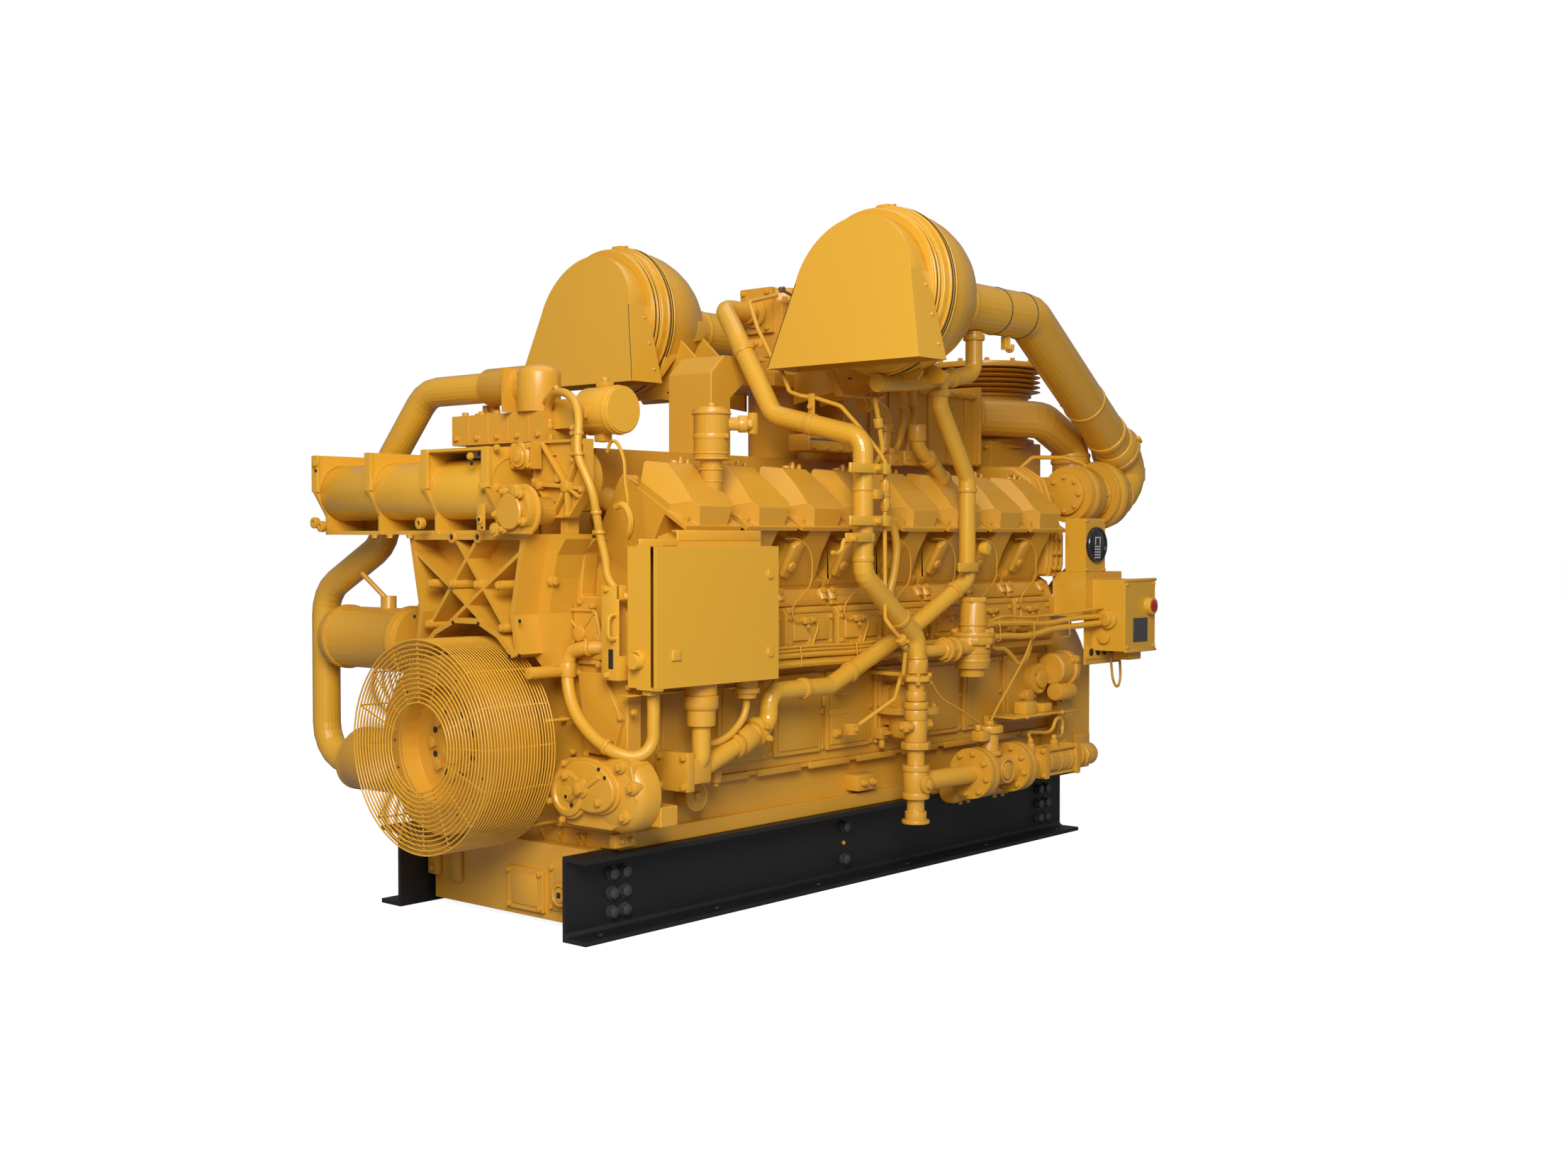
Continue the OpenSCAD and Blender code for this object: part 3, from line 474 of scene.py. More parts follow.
    @staticmethod
    def run(
        points: Sequence[Point], radius: float, bend: float = 30.0, shape: Shape = Shape.BENT,
        sides: int = 12,
    ) -> Item:
        """A pipe, hose or wire along some points.

        Args:
            points: The places that it passes.
            radius: Its radius.
            bend: The radius of its corners, where it is bent.
            shape: Bent round corners, or loose through the points.
            sides: How many sides it has.

        Returns:
            The run as a mesh.
        """
        Bench.clear()
        bpy.ops.curve.primitive_bezier_curve_add()
        item = bpy.context.active_object
        curve = item.data
        curve.splines.clear()
        curve.dimensions = "3D"
        if shape is Shape.LOOSE:
            spline = curve.splines.new("BEZIER")
            spline.bezier_points.add(len(points) - 1)
            for knot, place in zip(spline.bezier_points, points):
                knot.co = mm(place)
                knot.handle_left_type = knot.handle_right_type = "AUTO"
            curve.resolution_u = 7
        else:
            line = Bench.rounded(points, bend)
            spline = curve.splines.new("POLY")
            spline.points.add(len(line) - 1)
            for knot, place in zip(spline.points, line):
                knot.co = (*place, 1.0)
        curve.bevel_depth = radius * MM
        curve.bevel_resolution = max(1, sides // 4 - 1)
        curve.use_fill_caps = True
        item.location = (0, 0, 0)
        item.rotation_euler = (0, 0, 0)
        bpy.ops.object.convert(target="MESH")
        return bpy.context.active_object

    @staticmethod
    def bolt(across: float, head: float, washer: float) -> Item:
        """A hex bolt's head on its washer, modelled once for each size."""
        key = f"bolt_{across:g}_{head:g}_{washer:g}"
        if key not in Bench.templates:
            Bench.clear()
            bpy.ops.mesh.primitive_cylinder_add(
                vertices=6, radius=across * MM / math.sqrt(3), depth=head * MM,
                location=(0, 0, head * MM / 2),
            )
            item = Bench.settle()
            bpy.ops.object.mode_set(mode="EDIT")
            bpy.ops.mesh.select_all(action="DESELECT")
            bpy.ops.object.mode_set(mode="OBJECT")
            for face in item.data.polygons:
                face.select = face.normal.z > 0.9
            bpy.ops.object.mode_set(mode="EDIT")
            bpy.ops.mesh.select_mode(type="FACE")
            bpy.ops.mesh.inset(thickness=across * MM * 0.1)
            bpy.ops.transform.translate(value=(0, 0, head * MM * 0.12))
            bpy.ops.object.mode_set(mode="OBJECT")
            if washer:
                collar = Bench.rod((0, 0, -0.3), (0, 0, washer), across * 0.66, 0, 14)
                Bench.choose(item, collar)
                bpy.ops.object.join()
            Bench.templates[key] = item
        return Bench.templates[key]

    @staticmethod
    def copies(template: Item, places: list[Matrix]) -> list[Item]:
        """Copies of a template, each with its own mesh, at their places."""
        made = []
        for place in places:
            item = template.copy()
            item.data = template.data.copy()
            item.data.transform(place)
            bpy.context.scene.collection.objects.link(item)
            made.append(item)
        return made

    @staticmethod
    def sweep_away() -> None:
        """Removes the templates."""
        for item in Bench.templates.values():
            bpy.data.objects.remove(item)
        Bench.templates.clear()


@dataclass
class Piece:
    """One visible piece: its parts are modelled apart, joined, finished and put on a body."""

    name: str
    finish: Finish
    body: str = ENGINE
    parts: list[Item] = field(default_factory=list)

    def add(self, *items: Item) -> "Piece":
        """Takes in parts."""
        self.parts.extend(items)
        return self

    def rod(
        self, start: Point, end: Point, radius: float, bevel: float = 1.2, sides: int = 32,
        radius_end: float | None = None,
    ) -> "Piece":
        """Adds a round bar or a cone."""
        return self.add(Bench.rod(start, end, radius, bevel, sides, radius_end))

    def box(self, low: Point, high: Point, bevel: float = 1.5, segments: int = 2) -> "Piece":
        """Adds a block between two corners."""
        return self.add(Bench.box(low, high, bevel, segments))

    def ring(
        self, centre: Point, axis: Vector, radius: float, wire: float, steps: int = 64, sides: int = 10,
    ) -> "Piece":
        """Adds a ring of round wire."""
        return self.add(Bench.ring(centre, axis, radius, wire, steps, sides))

    def ball(self, centre: Point, radius: float, segments: int = 24) -> "Piece":
        """Adds a ball."""
        return self.add(Bench.ball(centre, radius, segments))

    def slab(
        self, outline: Sequence[Point], along: Vector, thickness: float, bevel: float = 1.5,
        segments: int = 2,
    ) -> "Piece":
        """Adds an extruded outline."""
        return self.add(Bench.slab(outline, along, thickness, bevel, segments))

    def lathe(self, profile: Sequence[Pair], base: Point, axis: Vector, steps: int = 48) -> "Piece":
        """Adds a spun profile."""
        return self.add(Bench.lathe(profile, base, axis, steps))

    def pipe(self, points: Sequence[Point], radius: float, bend: float = 30.0, sides: int = 12) -> "Piece":
        """Adds a run bent round its corners."""
        return self.add(Bench.run(points, radius, bend, Shape.BENT, sides))

    def hose(self, points: Sequence[Point], radius: float, sides: int = 12) -> "Piece":
        """Adds a loose run through its points."""
        return self.add(Bench.run(points, radius, shape=Shape.LOOSE, sides=sides))

    def bolts(
        self, places: Sequence[Point], facing: Vector, across: float = 17.0, head: float = 9.0,
        washer: float = 2.5,
    ) -> "Piece":
        """Adds hex bolts.

        Args:
            places: Where each one sits.
            facing: The way their heads point.
            across: Their size across the flats.
            head: The height of a head.
            washer: The thickness of the washer face below it.

        Returns:
            The piece itself.
        """
        turn = turned_to(facing)
        template = Bench.bolt(across, head, washer)
        return self.add(*Bench.copies(template, [Matrix.Translation(mm(p)) @ turn for p in places]))

    def both_sides(self) -> "Piece":
        """Adds a mirrored copy of every part on the other side of the engine."""
        flip = Matrix.Diagonal((1.0, -1.0, 1.0, 1.0))
        for item in list(self.parts):
            other = Bench.copies(item, [flip])[0]
            other.data.flip_normals()
            self.parts.append(other)
        return self

    def moved(self, place: Matrix) -> "Piece":
        """Moves every part so far by a matrix."""
        for item in self.parts:
            item.data.transform(place)
        return self

    def repeated(self, steps: Sequence[Point]) -> "Piece":
        """Adds copies of every part so far, each moved by one of some steps."""
        parts = list(self.parts)
        for step in steps:
            for item in parts:
                self.parts += Bench.copies(item, [Matrix.Translation(mm(step))])
        return self

    def each_cylinder(self) -> "Piece":
        """Repeats every part so far, made at the first cylinder, at the others of its bank."""
        return self.repeated([(PITCH * k, 0, 0) for k in range(1, BANK_COUNT)])

    def done(self, smooth: float = 38.0, replaces: tuple[str, ...] = ()) -> Item:
        """Joins the parts and finishes the piece.

        Args:
            smooth: Faces that meet at less than this angle, in degrees, shade as one.
            replaces: The solids that the piece stands for.

        Returns:
            The finished object.
        """
        Bench.choose(*self.parts)
        if len(self.parts) > 1:
            bpy.ops.object.join()
        item = bpy.context.active_object
        item.name = self.name
        item.data.name = self.name
        bpy.ops.object.shade_smooth_by_angle(angle=math.radians(smooth))
        item.data.materials.clear()
        item.data.materials.append(self.finish.material())
        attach(item, self.body)
        if replaces:
            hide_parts(*replaces)
        LOG.info("%s: %d faces", item.name, len(item.data.polygons))
        return item


@dataclass(frozen=True)
class Coat:
    """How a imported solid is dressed: its finish and the rounding of its edges."""

    finish: Finish
    round_by: float = 0.0
    segments: int = 2
    angle: float = 30.0

    def dress(self, node: str) -> None:
        """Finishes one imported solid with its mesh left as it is."""
        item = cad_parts[node]
        item.data.materials.clear()
        item.data.materials.append(self.finish.material())
        if self.round_by:
            weld = item.modifiers.new("weld", "WELD")
            weld.merge_threshold = WELD_GAP
            flat = item.modifiers.new("flat_faces", "DECIMATE")
            flat.decimate_type = "DISSOLVE"
            flat.angle_limit = math.radians(FLAT_ANGLE)
            bevel = item.modifiers.new("rounded_edges", "BEVEL")
            bevel.width = self.round_by * MM
            bevel.segments = self.segments
            bevel.limit_method = "ANGLE"
            bevel.angle_limit = math.radians(self.angle)
            bevel.harden_normals = True
        LOG.info("%s: dressed in %s", node, self.finish.name)


CRANK_Z = 468.0
BANK_ANGLE = 30.0
PITCH = 224.5
BANK_COUNT = 8
CYLINDERS = [-756.75 + PITCH * k for k in range(BANK_COUNT)]
GAPS = [-869.0 + PITCH * k for k in range(BANK_COUNT + 1)]
FRONT, REAR = Axis.MINUS_X.vector, Axis.PLUS_X.vector
OUT, ACROSS = Axis.MINUS_Y.vector, Axis.PLUS_Y.vector
DOWN, UP = Axis.MINUS_Z.vector, Axis.PLUS_Z.vector
BANK = Matrix.Translation((0, 0, CRANK_Z * MM)) @ Matrix.Rotation(math.radians(BANK_ANGLE), 4, "X")


# ---------------------------------------------------------------- rails, pan and crankcase


@dataclass(frozen=True)
class Rails:
    """The joint bolts of the two channel rails."""

    web_y: float = -331

    def build(self) -> None:
        """Adds them to both rails."""
        places = [(x, self.web_y, z) for x in (-978, -934, 988, 1030) for z in (52, 100, 149)]
        bolts = Piece("rail_bolts", DARK_BOLT)
        bolts.bolts(places + [(-50, self.web_y, 56), (-50, self.web_y, 152)], OUT, 27, 17, 5)
        bolts.both_sides().done()
        plugs = Piece("rail_plugs", CAST).rod((-50, -330, 104), (-50, -336, 104), 6, 1.5, 20)
        plugs.both_sides().done()


class OilPan:
    """The pan's front covers, drain plug, lip, studs and side brackets."""

    def front(self) -> None:
        """Covers, their screws and the drain plug on the end of the sump."""
        pads = Piece("pan_front_pads", CAST)
        pads.box((-1045.5, -129, 46), (-1041, -31, 128), 2.5)
        pads.box((-1041.5, -264, 64), (-1037, -190, 146), 2.5).box((-1044, 268, 78), (-1029, 316, 205), 5)
        pads.box((-1040, 180, 70), (-1029, 236, 150), 4)
        for y in (94, 161, 227, 249):
            rib = [(-985, y - 4, 240), (-1003, y - 4, 240), (-985, y - 4, 206)]
            pads.slab(rib, ACROSS, 8, 1.0).slab([(a, -b - 8, c) for a, b, c in rib], ACROSS, 8, 1.0)
        pads.done()
        screws = Piece("pan_front_bolts", CAST)
        screws.bolts([(-1042, y, z) for y in (-139, -21) for z in (43, 131)], FRONT, 13, 7)
        screws.bolts([(-1038, y, z) for y in (-274, -181) for z in (56, 154)], FRONT, 13, 7)
        screws.bolts([(-1044, 292, 96), (-1044, 292, 186)], FRONT, 15, 8).done()
        drain = Piece("pan_drain_plug", CAST)
        drain.ring((-1057, -230, 92), FRONT, 25, 5, 40).rod((-1056, -230, 92), (-1061, -230, 92), 19, 1.5)
        drain.done()
        # Painted shade: a dark square stands for the shade in the drain plug's square socket.
        Piece("pan_drain_square", SHADE_PAINT).box((-1062.2, -237, 85), (-1060, -223, 99), 0.6, 1).done()

    def lip(self) -> None:
        """The notched strip under the crankcase, and its row of bolts."""
        strip = Piece("pan_lip", CAST)
        edges = [-985.0]
        for x in (-489 + 216 * n for n in range(-2, 7)):
            edges += [x - 18, x + 18]
        edges.append(985.0)
        for a, b in zip(edges[::2], edges[1::2]):
            strip.box((a, -376, 343), (b, -369, 361), 2.0)
        strip.both_sides().done()
        bolts = Piece("pan_lip_bolts", CAST)
        bolts.bolts([(-960 + 72.0 * n, -358, 361) for n in range(27)], UP, 11, 7, 2)
        bolts.both_sides().done()

    def sides(self) -> None:
        """The boss and its studs in the middle, and the bracket at the front corner."""
        boss = Piece("pan_side_boss", CAST)
        boss.box((-57, -392, 258), (29, -343, 306), 5).box((-1024, -396, 222), (-951, -372, 258), 4)
        boss.rod((-34, -392, 282), (-34, -401, 282), 11, 2).rod((6, -392, 282), (6, -401, 282), 11, 2)
        boss.rod((-738, -343, 318), (-738, -392, 322), 27, 2)
        boss.rod((-738, -392, 322), (-738, -401, 323), 33, 4).both_sides().done()
        Piece("pan_side_bolts", CAST).bolts([
            (-34, -401, 282), (6, -401, 282), (-1004, -396, 240), (-970, -396, 240),
        ], OUT, 13, 8).both_sides().done()
        ring = Piece("pan_cap_ring", CAST).ring((-738, -399, 323), Vector((0, -1, 0.08)), 36, 4.5, 40)
        ring.box((-748, -409, 313), (-728, -399, 333), 3).both_sides().done()

    def build(self) -> None:
        """Adds them all."""
        self.front()
        self.lip()
        self.sides()


@dataclass(frozen=True)
class Crankcase:
    """Bolts, lugs, rails and small fittings on the sides of the block."""

    bowl: tuple[Pair, ...] = (
        (0, 0), (36, 0), (52, 8), (58, 22), (58, 70), (64, 76), (94, 78), (94, 98), (66, 100), (60, 106),
        (60, 148), (50, 166), (30, 176), (0, 178),
    )

    def covers(self) -> None:
        """The bolts, holes drawn as dark discs of painted shade, and edge beads of the side covers."""
        bolts = Piece("crankcase_cover_bolts", CAST)
        bolts.bolts([(x, -365, z) for x in GAPS for z in (398, 500, 602)], OUT, 15, 8, 3)
        bolts.both_sides().done()
        # Painted shade: dark discs stand for the shade inside the covers' holes.
        holes = Piece("crankcase_dark_holes", SHADE_PAINT)
        for x in GAPS[:-1]:
            for z in (480, 560):
                holes.rod((x + 88, -377, z), (x + 88, -378.6, z), 4, 0, 14)
        holes.both_sides().done()
        beads = Piece("crankcase_cover_beads", CAST)
        beads.box((CYLINDERS[0] - 84, -382, 402), (CYLINDERS[0] + 84, -377, 598), 4, 3).each_cylinder()
        beads.both_sides().done()

    def gallery(self) -> None:
        """The band above the shaft covers with its lugs, and the covers' screws."""
        band = Piece("gallery_band", CAST)
        x = CYLINDERS[0]
        band.box((x - 103, -396, 799), (x + 103, -380, 823), 5, 3)
        band.box((x - 96, -424, 781), (x + 96, -404, 799), 5, 3)
        for dx in (-92, 92):
            band.rod((x + dx, -392, 812), (x + dx, -376, 842), 15, 3, 24)
        band.each_cylinder()
        band.bolts([
            (c + dx, -392, 840) for c in CYLINDERS for dx in (-92, 92)
        ], Vector((0, -0.5, 0.866)), 15, 9)
        band.both_sides().done()
        screws = Piece("cam_cover_bolts", CAST)
        screws.bolts([
            (c + dx, -420, z) for c in CYLINDERS for dx in (-88, 88) for z in (700, 770)
        ], OUT, 12, 7, 2)
        screws.both_sides().done()
        frames = Piece("cam_cover_frames", CAST).box((x - 74, -426, 706), (x + 74, -419, 764), 4, 3)
        frames.each_cylinder().both_sides().done()

    def fittings(self) -> None:
        """A small pump, a tap, brackets and a sensor housing along the left side."""
        pump = Piece("side_pump", CAST)
        pump.lathe(self.bowl, (118, -440, 400), UP, 56).box((70, -410, 440), (166, -364, 560), 6)
        pump.rod((118, -440, 576), (118, -440, 604), 17, 2)
        pump.pipe([(118, -440, 600), (118, -440, 622), (84, -430, 648), (50, -410, 660)], 13, 22)
        pump.rod((118, -440, 402), (118, -440, 384), 12, 2, 6)
        pump.bolts(circle((118, -440, 498), UP, 79, evenly(8, 0.3)), UP, 12, 7).done()
        tap = Piece("side_tap", CAST)
        tap.box((38, -404, 402), (74, -364, 436), 4).rod((56, -390, 404), (56, -390, 376), 9, 1.5, 20)
        tap.rod((56, -404, 420), (56, -418, 420), 7, 1, 16).box((30, -424, 416), (82, -417, 424), 2.5)
        tap.done()
        angles = Piece("side_brackets", SHEET)
        angles.box((-190, -372, 514), (-128, -366, 560), 2).box((-164, -424, 548), (-140, -368, 554), 2)
        angles.box((-176, -384, 486), (-92, -378, 504), 2).box((-160, -392, 424), (-132, -366, 448), 3)
        angles.bolts([(-178, -372, 526), (-140, -372, 526), (-146, -392, 436)], OUT, 12, 7).done()
        sensor = Piece("sensor_housing", CAST)
        sensor.rod((870, -364, 530), (870, -416, 530), 50, 5, 40)
        sensor.rod((870, -416, 530), (870, -428, 530), 30, 3, 32)
        sensor.rod((828, -364, 476), (828, -408, 476), 22, 3, 28).box((800, -398, 466), (880, -366, 488), 4)
        sensor.bolts(circle((870, -416, 530), ACROSS, 40, (0.5, 2.6, 4.7)), OUT, 11, 6).both_sides().done()

    def build(self) -> None:
        """Adds them all."""
        self.covers()
        self.gallery()
        self.fittings()


# ---------------------------------------------------------------- heads and rocker covers


@dataclass(frozen=True)
class Heads:
    """The port bosses, screws, clips, leads and bare plates of the sixteen heads."""

    lead: tuple[Point, ...] = (
        (-112, -425, 985), (-90, -445, 985), (-55, -452, 968), (-33, -450, 948), (-22, -447, 908),
        (-28, -444, 860), (-72, -440, 822), (-92, -436, 793), (-84, -436, 766), (-48, -436, 761),
    )
    tail: tuple[Point, ...] = ((10, -432, 766), (18, -433, 745), (6, -433, 715), (-6, -433, 688))

    def bosses(self) -> None:
        """The port boss, flange screws and clip of each head."""
        x = CYLINDERS[0]
        port = [
            (x - 97, -119, 556), (x - 62, -119, 548), (x - 49, -119, 600), (x - 53, -119, 655),
            (x - 78, -119, 668), (x - 98, -119, 650),
        ]
        boss = Piece("head_port_bosses", CAST).slab(port, OUT, 21, 6, 3)
        boss.rod((x - 74, -138, 590), (x - 74, -147, 590), 15, 3, 24)
        boss.box((x + 50, -112, 528), (x + 76, -84, 548), 4)
        boss.box((x - 104, -112, 524), (x - 80, -70, 540), 4).each_cylinder()
        boss.bolts(
            [(c + 62, -101, 547) for c in CYLINDERS] + [(c - 92, -98, 540) for c in CYLINDERS], UP, 15, 9,
        )
        boss.moved(BANK).both_sides().done()
        screws = Piece("rocker_cover_bolts", CAST)
        for y in (-112, 96):
            screws.bolts([(c + dx, y, 716) for c in CYLINDERS for dx in (-78, 78)], UP, 14, 9, 3)
        screws.moved(BANK).both_sides().done()
        clips = Piece("rocker_cover_clips", CAST)
        clips.pipe([
            (x + 42, -318, 1165), (x + 42, -322, 1190), (x + 62, -306, 1196), (x + 92, -262, 1186),
            (x + 96, -246, 1160),
        ], 6, 12, 10)
        clips.pipe([
            (x + 56, -330, 1160), (x + 56, -334, 1184), (x + 76, -318, 1190), (x + 104, -276, 1178),
            (x + 108, -262, 1150),
        ], 6, 12, 10)
        clips.rod((x + 40, -300, 1150), (x + 40, -300, 1190), 12, 3, 20).each_cylinder().both_sides().done()

    def leads(self) -> None:
        """A thin lead from each head down to its coil, and the coil's plug."""
        leads = Piece("ignition_leads", HOSE)
        plugs = Piece("ignition_coils", CAST)
        for c in CYLINDERS[1:]:
            leads.hose([(c + x, y, z) for x, y, z in self.lead], 2.1, 8)
            leads.hose([(c + x, y, z) for x, y, z in self.tail], 2.6, 8)
        x = CYLINDERS[0]
        plugs.box((x - 44, -440, 753), (x - 14, -420, 772), 3)
        plugs.rod((x - 14, -430, 763), (x - 2, -430, 763), 11, 2, 20)
        plugs.box((x - 2, -438, 757), (x + 12, -420, 771), 2.5).each_cylinder()
        leads.both_sides().done()
        plugs.bolts([(c - 30, -440, 746) for c in CYLINDERS], OUT, 9, 5, 1.5).both_sides().done()

    def plates(self) -> None:
        """Two bare plates on the first and last covers."""
        bare = Piece("cover_plates", MARK)
        for c in (CYLINDERS[0], CYLINDERS[7]):
            bare.slab([
                (c - 52, -476, 1019), (c + 30, -476, 1019), (c + 46, -476, 1053), (c - 38, -476, 1053),
            ], OUT, 1.2, 0.4, 1)
        bare.done()
        inner = Piece("cover_plate_fields", TUBE)
        for c in (CYLINDERS[0], CYLINDERS[7]):
            inner.slab([
                (c - 46, -477, 1023), (c + 28, -477, 1023), (c + 40, -477, 1049), (c - 35, -477, 1049),
            ], OUT, 0.6, 0, 1)
        inner.done()

    def build(self) -> None:
        """Adds them all."""
        self.bosses()
        self.leads()
        self.plates()


def around(x: float, radius: float, turn: float) -> Point:
    """A place on a circle about the crankshaft, by its turn from the top in degrees."""
    return (x, -radius * math.sin(math.radians(turn)), CRANK_Z + radius * math.cos(math.radians(turn)))


# ---------------------------------------------------------------- the front end


@dataclass(frozen=True)
class WireGuard:
    """The basket of round wire in front of the damper."""

    eye: float = 112.0
    rim: float = 267.0
    front: float = -1312.5
    rear: float = -1104.0

    def build(self) -> None:
        """Rings over the face and the barrel, on bent bars."""
        wire = 2.2
        step = (self.rim - self.eye) / 13
        face = Piece("guard_rings", TUBE)
        for k in range(14):
            face.ring((self.front, 0, CRANK_Z), FRONT, self.eye + step * k, wire, 96, 8)
        face.done(60, ("guard_face",))
        barrel = Piece("guard_hoops", TUBE)
        pitch = (self.rear - self.front) / 22
        for k in range(1, 23):
            barrel.ring((self.front + pitch * k, 0, CRANK_Z), FRONT, self.rim, 1.9, 96, 8)
        inner = self.rim - 2 * wire
        for k in range(16):
            turn = 20 + 22.5 * k
            bar = [
                around(self.front + 4.6, self.eye - 3, turn), around(self.front + 4.6, inner, turn),
                around(self.rear + 3, inner, turn),
            ]
            barrel.pipe(bar, 2.1, 9, 8)
        for turn in (75, 140, 220, 285):
            barrel.pipe([around(-1122, inner, turn), around(-1000, inner, turn)], 4.5, 5, 12)
            barrel.rod(around(-1004, inner, turn), around(-999, inner, turn), 15, 1.5, 24)
        barrel.done(60, ("guard_barrel",))


@dataclass(frozen=True)
class Damper:
    """The bolts, holes and hub of the crankshaft damper; they turn with the crankshaft."""

    body: str = "crankshaft"

    def build(self) -> None:
        """Eight hex bolts on washers, holes between them, and the hub's raised ring."""
        turns = [45 * k for k in range(8)]
        bolts = Piece("damper_bolts", CAST, self.body)
        bolts.bolts([around(-1201, 78, t) for t in turns], FRONT, 29, 14, 4)
        bolts.done()
        hub = Piece("damper_hub", CAST, self.body)
        hub.lathe([
            (0, 0), (52, 0), (52, 7), (49, 10), (40, 10), (38, 4), (24, 4), (22, 9), (0, 9),
        ], (-1201, 0, CRANK_Z), FRONT, 56)
        hub.lathe([(0, 0), (104, 0), (104, 2), (102, 3), (0, 3)], (-1201, 0, CRANK_Z), FRONT, 64).done()
        # Painted shade: dark discs stand for the shade inside the holes between the bolts.
        holes = Piece("damper_holes", SHADE_PAINT, self.body)
        for t in turns:
            holes.rod(around(-1203, 80, t + 22.5), around(-1204.8, 80, t + 22.5), 8.5, 0, 20)
        holes.done()
        rim = Piece("damper_rim_grooves", CAST, self.body)
        for radius in (162, 196, 219):
            rim.ring((-1250, 0, CRANK_Z), FRONT, radius, 2.2, 96, 8)
        rim.done()
        # Painted shade: small dark discs stand for the shade inside the rim's holes.
        marks = Piece("damper_rim_holes", SHADE_PAINT, self.body)
        for k in range(16):
            marks.rod(around(-1249.5, 180, 22.5 * k), around(-1250.6, 180, 22.5 * k), 3.2, 0, 12)
        marks.done()


@dataclass(frozen=True)
class FrontSupport:
    """The bosses, bolts, holes and foot of the openwork front bracket."""

    bosses: tuple[Pair, ...] = ((50, 870), (-50, 870), (134, 869), (-134, 869), (146, 764), (-146, 764))

    def build(self) -> None:
        """Adds them."""
        bolts = Piece("front_support_bolts", CAST)
        bolts.bolts([(-1166, y, z) for y, z in self.bosses], FRONT, 17, 9, 3)
        bolts.rod((-1089, -236, 880), (-1089, -250, 880), 14, 3, 24)
        bolts.bolts([(-1089, -248, 880)], OUT, 19, 10).done()
        ears = Piece("front_support_ears", CAST)
        for y in (-51, 51):
            ears.lathe([
                (0, 0), (14, 0), (16, 3), (15, 8), (8, 9), (7, 4), (0, 4),
            ], (-1160, y, 989), FRONT, 28)
        ears.rod((-1165, -238, 655), (-1002, -238, 655), 15, 3, 28)
        ears.rod((-1165, 238, 655), (-1002, 238, 655), 15, 3, 28).done()
        # Painted shade: dark discs stand for the shade inside the bracket's holes.
        holes = Piece("front_support_holes", SHADE_PAINT)
        for y, z in (
            (208, 782), (-208, 782), (50, 771), (-50, 771), (-169, 694), (-206, 697), (169, 694),
            (206, 697),
        ):
            holes.rod((-1164, y, z), (-1165.8, y, z), 5, 0, 16)
        for y in (-51, 51):
            holes.rod((-1166, y, 989), (-1167.4, y, 989), 7, 0, 20)
        holes.done()


@dataclass(frozen=True)
class FrontTray:
    """The bolts, tabs and clip of the bent plate under the front cylinder."""

    face_x: float = -1205

    def build(self) -> None:
        """Adds them."""
        bolts = Piece("front_tray_bolts", CAST)
        bolts.bolts([
            (self.face_x, 586, 1189), (self.face_x, -74, 1189), (self.face_x, -119, 1114),
        ], FRONT, 15, 8, 3)
        bolts.bolts([(-1180, y, 996) for y in (356, 290, 206)], DOWN, 15, 9, 3).done()
        tabs = Piece("front_tray_tabs", CAST)
        for y, z in ((578, 1028), (548, 1018), (119, 1024)):
            tabs.lathe([
                (0, 0), (14, 0), (15, 2), (15, 14), (12, 16), (7, 16), (6, 10), (0, 10),
            ], (self.face_x, y, z), FRONT, 24)
        tabs.box((-1209, -128, 1004), (-1203, -98, 1072), 3)
        tabs.lathe([(0, 0), (11, 0), (12, 3), (8, 5), (0, 5)], (-1209, -114, 1032), FRONT, 20).done()
        # Painted shade: dark discs stand for the shade inside the tray's holes.
        holes = Piece("front_tray_holes", SHADE_PAINT)
        for y, z in ((586, 1170), (-76, 1171)):
            holes.rod((-1204, y, z), (-1205.8, y, z), 5, 0, 16)
        for x, y, z, r in ((-1213.5, -114, 1032, 4.5), (-1208.5, -120, 1012, 3.5), (-1215, 119, 1024, 6)):
            holes.rod((x, y, z), (x - 1.4, y, z), r, 0, 16)
        holes.done()
        clip = Piece("front_tray_clip", MACHINED)
        clip.box((-1148, -40, 1188), (-1132, -12, 1210), 2).box((-1153, -37, 1192), (-1148, -20, 1206), 1)
        clip.done()


